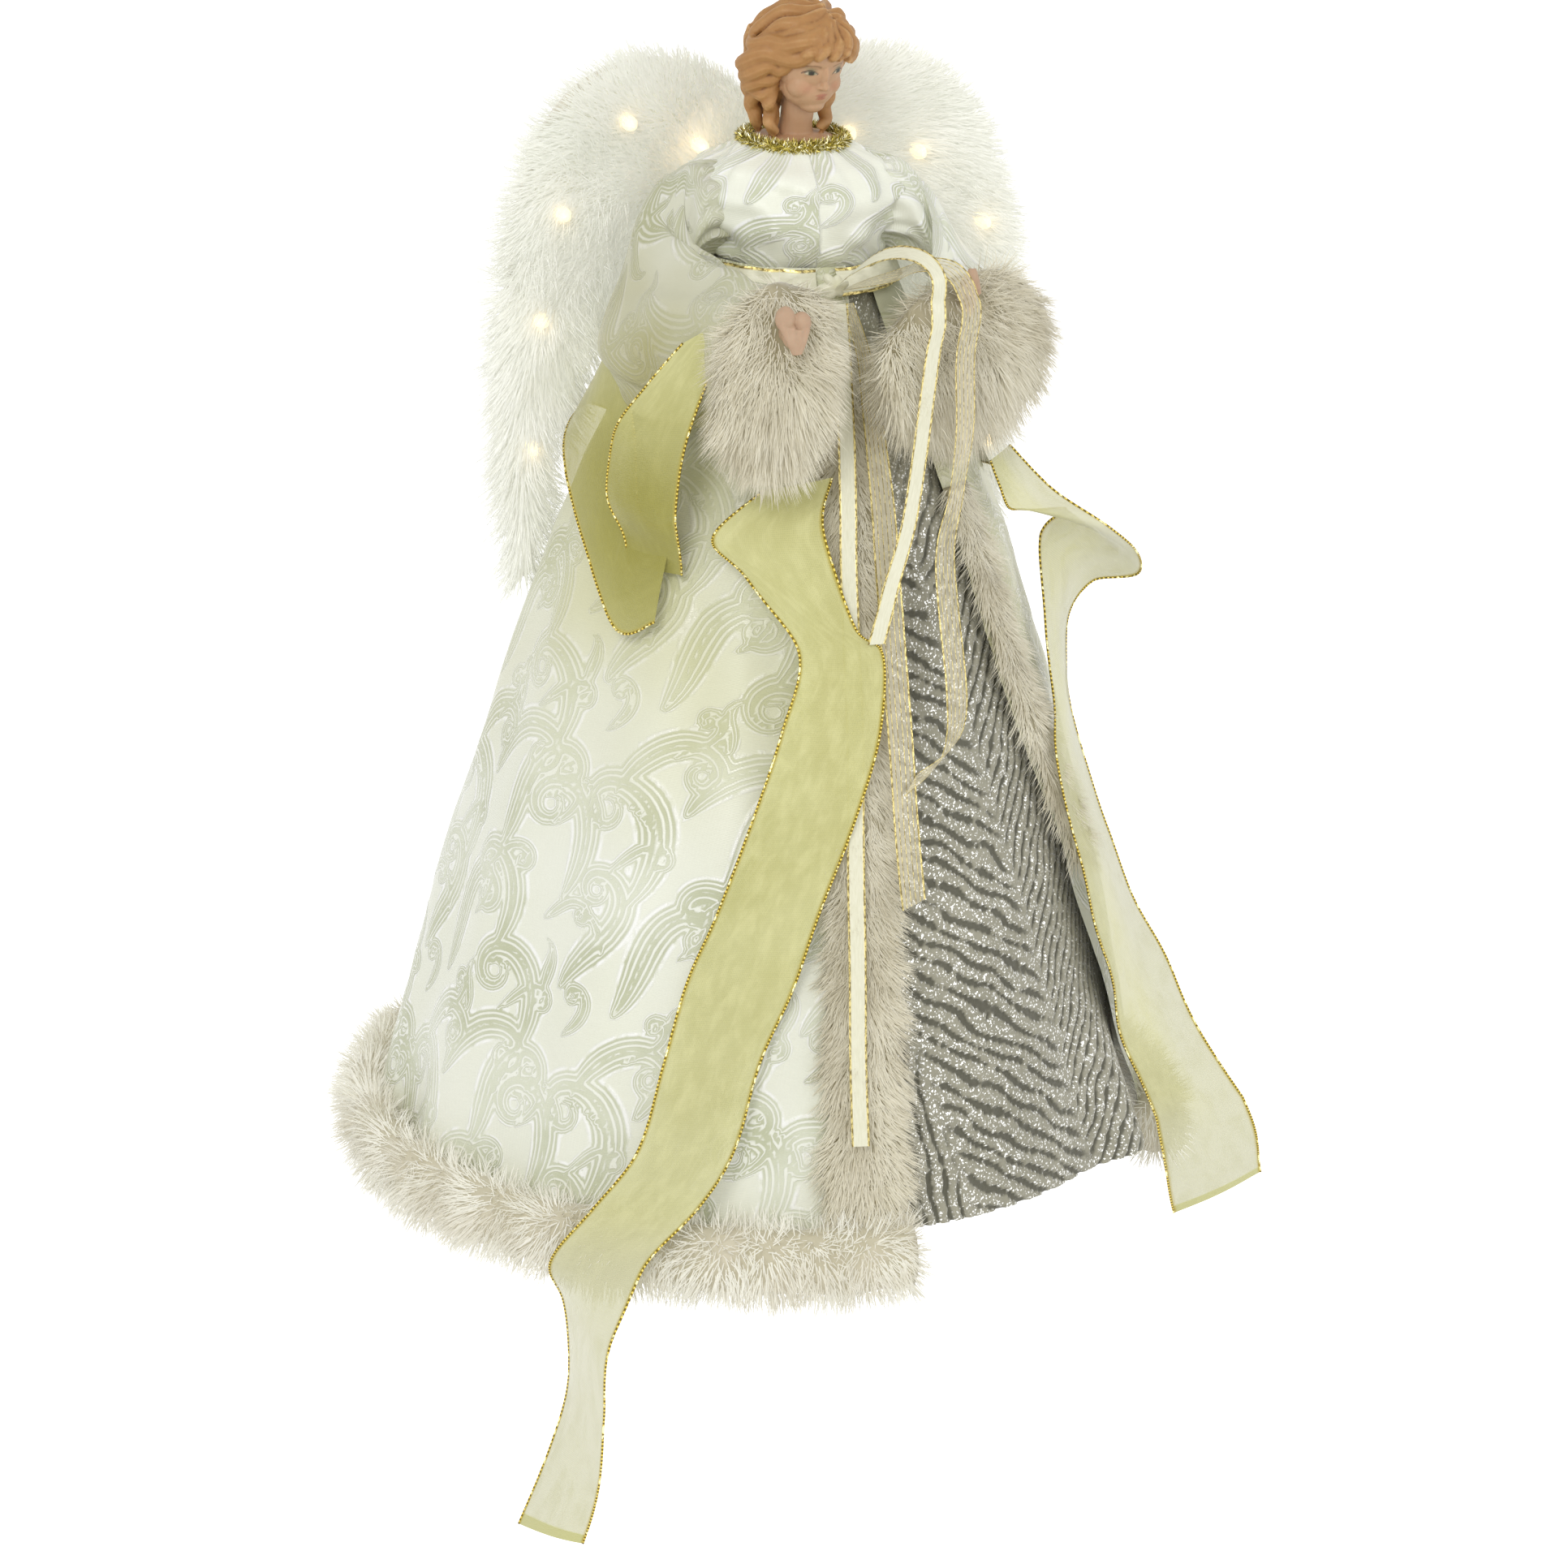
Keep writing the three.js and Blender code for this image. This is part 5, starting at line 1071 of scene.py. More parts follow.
lock_paths = [  # half thickness and places aside, behind and up
    # the crown, from the side parting to both sides
    (2.6, (3, -5, 19.4), (-6, -5, 19.2), (-13.5, -1, 14.5), (-17, 4, 7)),
    (2.6, (3, -2, 19.8), (-6, 1, 19.6), (-13.5, 5, 15), (-16, 9, 7)),
    (2.6, (3, 1, 19.6), (-4, 7, 18.6), (-9, 12, 13), (-11, 16, 5)),
    (2.6, (4, 2, 19.4), (3, 9, 18), (1, 15.5, 12), (0, 18.4, 3)),
    (2.6, (5, 0, 18.6), (10, 6, 17), (12, 12, 11), (11.5, 15, 3)),
    (2.6, (5, -3, 18.4), (11.4, -0.6, 16.4), (15.6, 4, 10.4), (16.4, 8, 1)),
    (2.8, (5, -5, 17.6), (10.4, -6, 15.8), (14.2, -5, 11.6), (15.6, -2, 6)),
    # the waves swept back over the right temple, each curling under at its end
    (2.8, (3, -7, 18.4), (-5, -8.6, 17.2), (-12, -5, 13.6), (-16.4, 1, 9)),
    (3.2, (2, -8, 18.4), (-6, -11.5, 15.6), (-12, -8.5, 11.4), (-16.4, -2.5, 10.6), (-18.6, 3, 6.6),
     (-16, 8.6, 6.4)),
    (3.0, (1, -10.6, 16.6), (-5, -12.6, 13.6), (-11, -9.4, 10), (-15, -4, 8.4), (-17, 1, 4.4)),
    (3.4, (-3, -13.8, 12.6), (-8.5, -12, 8.4), (-13.5, -7.6, 7.2), (-17.6, -2.4, 6.2), (-20.2, 3, 1.4),
     (-18.6, 7.4, -2.2), (-15.4, 5.4, -3.4)),
    (3.2, (-10.4, -8.6, 5.4), (-13.2, -6.4, 2), (-16.4, -3.4, 2.2), (-19, 0.4, -1.8), (-18.8, 4.8, -6.4),
     (-15.4, 5.6, -8)),
    (3.1, (-12.4, -5.2, 0.2), (-14.2, -3.6, -3.6), (-16.6, -1, -3.8), (-17.6, 2.2, -8), (-16, 5.6, -11.8),
     (-13, 3.8, -13.4)),
    (2.8, (-12.4, -3.6, -4.8), (-14, -2.2, -8.8), (-15, 0, -10.2), (-15, 3.2, -14.4), (-12.6, 4, -17.6)),
    # curls down to the collar on both sides of the neck
    (2.5, (-11.8, -3, -7), (-12.8, -4, -12), (-10.4, -2.2, -16), (-11, -3.8, -20.4), (-8.4, -5.2, -23.6)),
    (2.4, (-9.6, 0.6, -13), (-8, -1, -18), (-8.8, -2.6, -22), (-7, -3.4, -26)),
    (2.7, (-13.6, 3.4, -11), (-14, 4.4, -17), (-11.6, 3.6, -21.6), (-10, 1.2, -25)),
    (2.6, (-8, 9, -12), (-8.6, 9.4, -18), (-6.6, 8, -24)),
    (2.6, (0, 11, -12), (0.6, 11, -18), (0, 9.6, -25)),
    (2.6, (8, 9, -12), (8.4, 8.8, -18), (7, 7.4, -24)),
    (2.6, (12.4, 0.6, -7), (13, -3, -12.4), (10.6, -4.6, -16.6), (11.4, -6.2, -20.4), (8.8, -7, -23)),
    # the left side and the back of the head
    (3.0, (7, -6, 17.4), (13.4, -5.5, 12.4), (16, -1, 6), (16.4, 5, 0), (13.4, 10, -5)),
    (3.0, (14.6, -4.4, 5), (15.8, 0, -1), (15.4, 6, -6.4), (12, 11, -11)),
    (3.0, (-12, 14, 6), (-10, 16.6, -1), (-8.6, 15.4, -8), (-7, 13.4, -14)),
    (3.0, (-3, 18, 5), (-2, 18.6, -2), (-1.4, 16.6, -9), (-1, 13.6, -15)),
    (3.0, (7, 17, 5), (7, 17, -2), (6, 15.4, -9), (5, 13, -15)),
    (3.0, (13, 12, 6), (13.6, 12, -1), (11.4, 11.6, -8), (9, 11, -14)),
    # the soft fringe
    (2.5, (2, -7.4, 18.4), (-2, -12.6, 15.6), (-6, -14.2, 12), (-9.2, -12, 9)),
    (2.3, (3, -8, 18.2), (0, -13.8, 14.6), (-2.6, -15.6, 11.6), (-5.4, -15.2, 10.6)),
    (2.3, (4, -8.4, 18), (3.4, -14.4, 14), (2, -16, 11.2), (-0.8, -16.2, 10.6)),
    (2.3, (5, -8.2, 17.6), (7.2, -13.4, 14), (6.4, -15.6, 11), (3.8, -16.2, 9.8)),
    (2.4, (6, -7.4, 17.4), (10.6, -11.4, 13.4), (11.4, -12.8, 9.6), (9.2, -14.2, 8.2)),
    (2.4, (7, -6.6, 17.2), (13.6, -8.4, 12), (14.8, -8.8, 7), (12.8, -10.6, 5)),
]
lock_rows = []
for k, (thick, *places) in enumerate(lock_paths):
    path = smooth_rows(places, 9)
    share = np.linspace(0, 1, len(path))
    curls = together(np.sin(share * 11 + k), np.cos(share * 9 + k), np.sin(share * 13 + 2 * k))
    path = path + 0.55 * curls
    lock_rows.append((path, thick * (0.62 + 0.42 * np.sin(np.pi * np.clip(share * 0.9 + 0.1, 0, 1)))))
    for fine in (-1, 1):  # thinner strands along each lock
        lock_rows.append((path * 1.035 + fine * np.array([0.0, 0.35, 1.15]), thick * (0.5 - 0.2 * share)))

hair_masses = [((0, 2.8, 5.0), (14.8, 15.4, 15.6)), ((0, 7.0, -8.0), (10.5, 8.5, 12.0))]
hair_forms = [ball(on_head(middle), halves, head_frame) for middle, halves in hair_masses]
hair_forms += [rope(on_head(path), radii * head_size) for path, radii in lock_rows]
skin_forms = [ball(on_head(middle), halves, head_frame) for middle, halves in face_forms]
skin_forms += [rope(neck_path, neck_radii, 20), ball(plate_middle, plate_halves)]
head = cast("bisque_head", hair_forms + skin_forms, 0.42, 3)

head_points = mesh_points(head.data) * 1000
own = (head_points - head_middle) @ np.linalg.inv(head_frame).T


def egg_depth(points, middle, halves):
    return (np.linalg.norm((points - np.asarray(middle)) / np.asarray(halves), axis=1) - 1) * min(halves)


def nearest_strand(points, path, radii):
    best = np.full(len(points), 99.0)
    for spot, radius in zip(path, radii):
        best = np.minimum(best, np.linalg.norm(points - spot, axis=1) - radius)
    return best


skin_depth = np.min([egg_depth(own, middle, halves) for middle, halves in face_forms], axis=0)
skin_depth = np.minimum(skin_depth, nearest_strand(head_points, neck_path, neck_radii))
skin_depth = np.minimum(skin_depth, egg_depth(head_points, plate_middle, plate_halves))
hair_depth = np.min([egg_depth(own, middle, halves) for middle, halves in hair_masses], axis=0)
for path, radii in lock_rows:
    hair_depth = np.minimum(hair_depth, nearest_strand(own, path, radii))
hair_mark = np.clip(0.5 + (skin_depth - hair_depth) / 0.7, 0, 1)

bisque = Finish("painted_bisque", Roughness=0.52, Subsurface_Weight=0.06, Subsurface_Scale=0.002)
hair_share = bisque.mark("hair_paint")
# painted shade darkens the hair's grooves and the face's hollows, and a painted highlight lightens the
# hair's ridges
groove = bisque.fade(bisque.mark("groove"), 0.0, 0.36)
ridge_highlight = bisque.fade(bisque.mark("groove"), -0.05, -0.3)
brushed = bisque.noise(bisque.place(), 260, 4, 0.6)
hair_colour = bisque.mix(brushed, dye(156, 107, 57), dye(184, 138, 82))
hair_colour = bisque.mix(groove, hair_colour, dye(112, 68, 30))
hair_colour = bisque.mix(ridge_highlight, hair_colour, dye(202, 160, 106))
skin_colour = bisque.mix(brushed, dye(184, 144, 108), dye(198, 160, 124))
skin_colour = bisque.mix(bisque.sum("MULTIPLY", groove, 0.4), skin_colour, dye(150, 104, 74))
head_colour = bisque.mix(hair_share, skin_colour, hair_colour)
face_paints = [
    ("blush_paint", dye(186, 120, 92)), ("shadow_paint", dye(112, 116, 82)), ("lip_paint", dye(168, 98, 76)),
    ("white_paint", dye(204, 190, 160)), ("iris_paint", dye(54, 66, 38)), ("line_paint", dye(44, 32, 22)),
    ("brow_paint", dye(118, 84, 52)),
]
for paint_name, paint in face_paints:
    head_colour = bisque.mix(bisque.mark(paint_name), head_colour, paint)
bisque.set("Base Color", head_colour)
bisque.relief(bisque.noise(bisque.place(), 1900, 3), 0.12, 0.0002)


own_aside, own_up, face_front = own[:, 0], own[:, 2], own[:, 1] < -8


def painted(aside, up, half_wide, half_high, soft):
    """A soft-edged oval of paint on the face's front, from 0 to 1."""
    gap = np.hypot((own_aside - aside) / half_wide, (own_up - up) / half_high)
    return np.clip((1 - gap) / soft, 0, 1) * face_front * (1 - hair_mark)


def brushed_line(up, thick):
    """A thin line of paint at these heights across the face's front."""
    return np.exp(-((own_up - up) / thick) ** 2) * face_front


paints = {name: np.zeros(len(own)) for name, _ in face_paints}
for side in (-1, 1):
    eye, eye_up = side * 5.5, 3.5
    curve = (own_aside - eye) / 2.3
    lid = eye_up + 0.95 * (1 - curve ** 2)
    lower_lid = eye_up - 0.7 * (1 - curve ** 2)
    inside = (np.abs(curve) < 1) & (own_up < lid) & (own_up > lower_lid) & face_front
    paints["white_paint"] += inside * (1 - hair_mark)
    paints["shadow_paint"] += 0.6 * painted(eye, eye_up + 1.3, 2.7, 1.5, 0.8)
    paints["iris_paint"] += painted(eye + 0.2, eye_up, 1.35, 1.3, 0.25) * inside
    paints["line_paint"] += painted(eye + 0.2, eye_up, 0.75, 0.75, 0.4) * inside
    paints["line_paint"] += brushed_line(lid, 0.3) * (np.abs(curve) < 1.15)
    paints["line_paint"] += 0.35 * brushed_line(lower_lid, 0.2) * (np.abs(curve) < 0.9)
    brow_up = eye_up + 3.2 - 0.13 * (own_aside - side * 4.8) ** 2
    paints["brow_paint"] += 0.8 * brushed_line(brow_up, 0.3) * (np.abs(own_aside - side * 5.3) < 2.9)
    paints["blush_paint"] += 0.42 * painted(side * 6.0, -2.6, 3.8, 3.0, 0.9)
paints["lip_paint"] += 0.75 * np.maximum(painted(0, -4.85, 2.8, 0.7, 0.3), painted(0, -6.1, 2.3, 0.7, 0.3))
paints["line_paint"] = np.maximum(paints["line_paint"], 0.45 * painted(0, -5.5, 2.5, 0.2, 0.5))
for mark, values in {**paints, "hair_paint": hair_mark, "groove": hollows(head.data, 7)}.items():
    paint_points(head.data, mark, np.clip(values, -1, 1))
head.data.materials.append(bisque.material)
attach(head, "root")
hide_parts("head")


# Collar: metallic tinsel braid, short bright and dark threads that stand out from a core cord. It
# closes into a ring round the neck and hides the edge of the bodice on the shoulder plate.

tinsel = Finish("tinsel_braid", Roughness=0.34, Metallic=0.75)
tinsel_bit = tinsel.mark("hair")
tinsel_colour = tinsel.mix(tinsel.fade(tinsel_bit, 0.2, 0.5), dye(150, 136, 52), dye(218, 202, 108))
tinsel.set("Base Color", tinsel.mix(tinsel.fade(tinsel_bit, 0.62, 0.8), tinsel_colour, dye(255, 251, 216)))
tinsel.relief(tinsel.noise(tinsel.place(), 2600, 2), 0.4, 0.0002)
collar_steps, collar_sides = 96, 10
collar_turn = np.linspace(0, 360, collar_steps, endpoint=False)
collar_outs = polar(collar_turn, 1.0, 0.0)
collar_ups = np.broadcast_to([0.0, 0.0, 1.0], collar_outs.shape)
collar_points, collar_normals = tube_grid(polar(collar_turn, 16.2, 337.2), collar_outs, collar_ups,
                                          2.0, 1.9, collar_sides)
last_ring = (collar_steps - 1) * collar_sides
collar_faces = grid_faces(collar_steps, collar_sides, True).tolist()
for j in range(collar_sides):
    k = (j + 1) % collar_sides
    collar_faces.append([last_ring + j, last_ring + k, k, j])
collar_even = np.ones((collar_steps, collar_sides))
collar_backing = make_piece("collar_backing", collar_points, collar_faces, tinsel,
                            comb=collar_normals * 0.2 + np.array([0, 0, -0.1]), thick=collar_even,
                            long=collar_even)
collar = settle(collar_backing, grown_pile, "tinsel_collar", Hairs_per_m2=5200000.0, Length=0.0022,
                Width=0.00042, Lean=0.3, Stray=0.9, Sag=0.0, Tuft=400.0, Tuft_pull=0.6, Seed=12,
                Hair=tinsel.material)
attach(collar, "root")
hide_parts("collar_trim")


# Ribbons: woven ribbon tied on by hand, some of it with a thin metallic wire in both edges. Each one
# is laid by a table of places on the figure, row by row from its upper end: turn in degrees, height
# as a share of the waist's, how far it stands off the robe, share of its width, lean and twist.

ribbon_steps, ribbon_stand_off = 16, 9.0


def lay_ribbon(rows, width, columns, flutter, seed):
    """A ribbon's grid of points, its cloth map in millimetres and its length."""
    table = smooth_rows([list(row) + [0] * (6 - len(row)) for row in rows], ribbon_steps)
    turn, height, stand_off, share, lean, twist = (table[:, k:k + 1] for k in range(6))
    lean, twist = np.radians(lean), np.radians(twist)
    side = np.linspace(-0.5, 0.5, columns)[None, :] * width * share
    level = height * waist_height + side * np.cos(twist) * np.sin(lean)
    proud = ribbon_stand_off * stand_off
    radius = robe_top(level) + proud
    middle = polar(turn, robe_top(height * waist_height) + proud, height * waist_height)
    run = run_along(middle[:, 0])[:, None]
    wave = 0.6 * np.sin(run / 11 + side / 9 + seed) + 0.7 * soft_noise(run / 46, side / 40, 90 + seed)
    wave = flutter * wave * np.clip(run / 16, 0.2, 1)
    points = polar(turn + np.degrees(side * np.cos(twist) * np.cos(lean) / radius),
                   radius + side * np.sin(twist) + wave, level)
    across = np.linspace(-0.5, 0.5, columns)[None, :] * width
    return points, together(across, run), float(run[-1, 0])


def ribbon_piece(name, grid, flat, finishes, clear, wired=None):
    """A ribbon's mesh, with metallic wire tubes in its two edges where it is wired."""
    rows, columns = grid.shape[:2]
    points, uv = [grid.reshape(-1, 3)], [flat.reshape(-1, 2) * 0.001]
    faces = grid_faces(rows, columns).tolist()
    kinds, see = [0] * len(faces), [np.broadcast_to(clear, (rows, columns)).ravel()]
    count = rows * columns
    tube_sides = 6
    for edge in (0, columns - 1) if wired else ():
        tube_points, tube_faces = rope(grid[:, edge], np.full(rows, wired), tube_sides)
        points.append(tube_points)
        uv.append(np.repeat(flat[:, edge], tube_sides, axis=0) * 0.001)
        see.append(np.zeros(len(tube_points)))
        faces += [[i + count for i in face] for face in tube_faces]
        kinds += [1] * len(tube_faces)
        count += len(tube_points)
    return make_piece(name, np.concatenate(points), faces, finishes, np.concatenate(uv), kinds,
                      clear=np.concatenate(see))


gold_wire = Finish("gold_wire", Roughness=0.3, Metallic=0.85)
gold_run = gold_wire.split(gold_wire.cloth_place())[1]
gold_dash = gold_wire.sum("SINE", gold_wire.sum("MULTIPLY", gold_run, 4600.0))
gold_chance = gold_wire.noise(gold_wire.place(), 420, 2)
gold_colour = gold_wire.mix(gold_wire.fade(gold_dash, -0.1, 0.4), dye(120, 100, 26), dye(224, 200, 96))
gold_glint = gold_wire.fade(gold_chance, 0.56, 0.66)
gold_wire.set("Base Color", gold_wire.mix(gold_glint, gold_colour, dye(255, 248, 190)))
gold_wire.relief(gold_dash, 0.5, 0.0002)


# Shawl: 38 mm sheer organza ribbon with wired metallic edges. It hangs behind the right cuff and round
# the back, and two long tails come down the front and the far side past the hem. Its clear mark paints
# light and shade into its colour: above 0 it is painted paler where light comes through, below 0 it is
# painted dark olive where it lies double and in shade, and 2 marks a folded end.

organza = Finish("organza", Roughness=0.5, Sheen_Weight=0.5, Sheen_Roughness=0.4)
organza_uv = organza.cloth_place()
organza_side, organza_run = organza.split(organza_uv)[0], organza.split(organza_uv)[1]
warp = organza.sum("SINE", organza.sum("MULTIPLY", organza_side, 9800.0))
weft = organza.sum("SINE", organza.sum("MULTIPLY", organza_run, 9800.0))
organza_net = organza.fade(organza.sum("MAXIMUM", warp, weft), -0.4, 0.9)
organza_moire = organza.noise(organza.scaled(organza_uv, (1, 0.5, 1)), 170, 4, 0.6, 0.2)
organza_cloud = organza.noise(organza.place(), 34, 3, 0.55)
organza_colour = organza.mix(organza_cloud, dye(192, 188, 112), dye(218, 216, 154))
organza_light_mark = organza.mark("clear")
organza_fold = organza.fade(organza_light_mark, 1.4, 1.9)
organza_selvage = organza.fade(organza.sum("ABSOLUTE", organza_side), 0.0172, 0.0186)
# painted light and shade from the clear mark: paler where light comes through, dark olive where the ribbon
# lies double in shade
for share, tone in [(organza.fade(organza_moire, 0.35, 0.8, 0.0, 0.4), dye(232, 229, 172)),
                    (organza.fade(organza_light_mark, 0.0, 1.0, 0.0, 0.9), dye(208, 206, 170)),
                    (organza.fade(organza_light_mark, -1.0, 0.0, 0.82, 0.0), dye(150, 143, 34)),
                    (organza_fold, dye(202, 200, 136)), (organza_selvage, dye(186, 170, 66))]:
    organza_colour = organza.mix(share, organza_colour, tone)
organza.set("Base Color", organza_colour)
organza_cover = organza.fade(organza_light_mark, 0.0, 1.0, 0.8, 0.84)
organza_cover = organza.sum("ADD", organza_cover, organza.sum("MULTIPLY", organza_net, 0.1))
organza_cover = organza.sum("ADD", organza_cover, organza.fade(organza_moire, 0.4, 0.7, -0.04, 0.03))
organza_cover = organza.sum("MAXIMUM", organza_cover, organza_fold)
organza.set("Alpha", organza.sum("MAXIMUM", organza_cover, organza_selvage, clamp=True))
organza.relief(organza.sum("ADD", organza_net, organza_moire), 0.25, 0.0003)

shawl_width, shawl_columns, shawl_wire, shawl_hem = 38.0, 21, 0.38, 3.4
shawl_routes = {  # how much it flutters, and its table
    "shawl_back": (0.7, [
        (-44, .692, .9, .8, 90, 0), (-54, .683, .7, .95, 90, 0), (-68, .76, .8, 1, 84, 0),
        (-90, .84, 1.3, 1, 82, 0), (-116, .86, .9, .95, 86, 0), (-148, .815, .3, .9, 90, 0),
        (-184, .775, .2, .9, 90, 0), (-220, .765, .2, .9, 90, 0), (-256, .785, .25, .9, 90, 0),
        (-286, .8, .3, .7, 90, 0)]),
    "shawl_loop_right": (1.2, [
        (-48, .69, .5, .55, 0, 0), (-49, .72, 1.0, .66, 0, 8), (-51, .77, 2.1, .86, 4, 14),
        (-49, .84, 3.3, .92, 12, 16), (-42, .915, 4.3, .75, 26, 10), (-36, .965, 4.4, .5, 34, 0)]),
    "shawl_front_tail": (0.8, [
        (-13, .795, 1.2, .6, 10, 0), (-20, .745, 1.3, .95, 6, 0), (-12, .675, 1.3, 1, -22, 0),
        (-4, .625, 1.35, .75, -6, 0), (-6.5, .54, 1.2, .85, 0, 3), (-12, .44, .86, .88, 2, 10),
        (-17.5, .345, .6, .9, 6, 8), (-21.5, .265, .36, .92, 0, 0), (-25, .185, .38, .85, 8, 0),
        (-27.5, .1, .9, .86, 8, 0), (-31.5, .045, 2, .95, 8, 0), (-37, -.02, 2.3, .85, 4, 0),
        (-38.5, -.09, 2.3, .9, 0, 38), (-38.5, -.18, 2.3, .95, 0, 48), (-39.5, -.26, 2.5, 1, 6, 40),
        (-42, -.345, 2.9, 1, 14, 26)]),
    "shawl_side_tail": (0.8, [
        (57, .79, 1.4, .3, 20, 30), (59, .74, 1.8, .55, 10, 45), (63, .712, 2.8, .75, -30, 55),
        (77, .665, 3.6, .8, -80, 40), (78, .64, 2, .8, -50, 30), (70, .585, 1.1, .75, -10, 10),
        (63, .52, .76, .8, 0, 0), (58, .465, .7, .85, 0, 0), (58, .375, .72, .9, 0, 0),
        (60, .28, .9, .95, 0, 10), (64, .19, 1.1, 1, 0, 20), (67, .09, 1.5, 1, 0, 36),
        (70, .01, 2.2, 1, 4, 50), (73, -.06, 2.8, 1, 14, 57), (77, -.13, 3.4, 1, 30, 61)]),
}
for shawl_name, (flutter, rows) in shawl_routes.items():
    grid, flat, length = lay_ribbon(rows, shawl_width, shawl_columns, flutter, len(rows))
    # painted light: the tails are paler low down and below the hem, where light comes through them
    painted_light_and_hem = 0.56 * np.clip((12 - grid[..., 2]) / 22, 0, 1) + 0.36 * np.clip((150 - grid[..., 2]) / 120, 0, 1)
    if shawl_name == "shawl_side_tail":
        # painted light: the side tail is paler towards one edge
        painted_light_and_hem = np.maximum(painted_light_and_hem, 0.4 + np.clip((flat[..., 0] + 4) / 12, 0, 1) * 0.6)
    if shawl_name in ("shawl_loop_right", "shawl_back"):  # two layers lie on each other and in shade
        painted_light_and_hem = 0.3 * np.clip((215 - grid[..., 2]) / 25, 0, 1)
        painted_light_and_hem = painted_light_and_hem - np.clip((280 - grid[..., 2]) / 50, 0.1, 0.95)
    if shawl_name.endswith("tail"):  # the end is folded over into a hem
        painted_light_and_hem = np.where(flat[..., 1] > length - shawl_hem, 2.0, painted_light_and_hem)
    shawl = ribbon_piece(shawl_name + "_ribbon", grid, flat, [organza, gold_wire], painted_light_and_hem, wired=shawl_wire)
    if shawl_name == "shawl_loop_right":
        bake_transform(shawl)
    else:
        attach(shawl, "root")
    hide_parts(shawl_name)


# Satin and sheer ribbons: 6 mm cream satin with metallic edges and 9 mm sheer ribbon with pin
# stripes. They are tied at the waist; two ends hang down and two run over the left cuff.

def band_finish(name, pale, shade, half_wide, stripes, cover):
    """Narrow ribbon: metallic edges, lengthwise stripes at these distances from its middle, and the
    share of what lies behind it that its cloth covers."""
    band = Finish(name, Roughness=0.34, Sheen_Weight=0.2)
    band_uv = band.cloth_place()
    side, run = band.sum("ABSOLUTE", band.split(band_uv)[0]), band.split(band_uv)[1]
    line = band.fade(side, half_wide - 0.0009, half_wide - 0.0005)
    for stripe in stripes:
        near = band.fade(band.sum("ABSOLUTE", band.sum("SUBTRACT", side, stripe)), 0.0002, 0.00008)
        line = band.sum("MAXIMUM", line, near)
    dash = band.fade(band.noise(band.scaled(band_uv, (3, 1, 1)), 620, 2), 0.42, 0.56)
    gilt = band.mix(dash, dye(134, 116, 60), dye(232, 214, 140))
    grain = band.noise(band.scaled(band_uv, (1, 0.15, 1)), 1700, 3)
    cloth = band.mix(grain, shade, pale)
    band.set("Base Color", band.mix(line, cloth, gilt))
    band.set("Metallic", band.sum("MULTIPLY", line, 0.6))
    if cover < 1:
        weave_cover = band.fade(grain, 0.3, 0.7, cover - 0.08, cover + 0.08)
        band.set("Alpha", band.sum("MAXIMUM", weave_cover, line, clamp=True))
    band.relief(band.sum("ADD", line, band.sum("MULTIPLY", grain, 0.3)), 0.35, 0.0003)
    return band


satin = band_finish("satin", dye(244, 242, 220), dye(214, 211, 180), 0.003, [], 1)
sheer = band_finish("sheer", dye(228, 221, 196), dye(204, 194, 162), 0.0045, [0.0009, 0.0026], 0.55)
narrow_routes = {  # width, finish and table
    "satin_tail_center": (6.0, satin, [
        (5, .97, .95, 1), (2, .86, 1.05, 1), (-1, .72, 1.05, 1), (-1.5, .55, .95, 1), (-2.5, .38, 1.05, 1),
        (-3, .22, 1.1, 1), (-3, .11, 1.15, 1)]),
    "sheer_tail_center": (9.0, sheer, [
        (10, .968, .7, .5), (12, .92, .95, .6), (11, .86, 1, .8), (8.5, .72, 1, 1), (7.5, .6, 1.05, 1),
        (7, .46, 1.1, 1), (7, .36, 1.2, 1, 20)]),
    "satin_side": (6.0, satin, [
        (6, .99, 1.07, 1, 30), (12, 1.035, 3.3, 1, 50), (15.5, 1.045, 5, 1, 30), (17.5, 1.025, 5.9, 1),
        (17.5, .98, 5.7, 1), (17, .94, 4.9, 1), (15.4, .83, 2.9, 1), (12, .75, 1.9, 1), (7, .69, 1.6, 1),
        (3, .635, 1.47, 1)]),
    "sheer_side": (9.0, sheer, [
        (10, .985, .93, .5, 20), (17, 1.01, 3.2, .8, 40), (20, 1.03, 4.6, .9, 30), (24.5, 1.025, 5.4, 1, 10),
        (27.5, .99, 5.7, 1), (27.2, .93, 4.6, 1), (28, .85, 3.3, 1), (29, .785, 1.9, .8), (24, .73, 1.4, .9),
        (23, .67, .9, 1), (22, .58, .9, 1), (17, .52, 1.3, 1, 30), (8, .485, 1.24, 1, 50)]),
}
narrow_columns, narrow_flutter = 7, 0.35
cuff_row = 7 * ribbon_steps  # where the side ribbons leave the cuff
give_from, give_to = 0.012, 0.040


def tie_on(ribbon, node, give=None):
    if give:  # a ribbon with give is kept where it lies and not put on the root
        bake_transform(ribbon)
    else:
        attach(ribbon, "root")
    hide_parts(node)


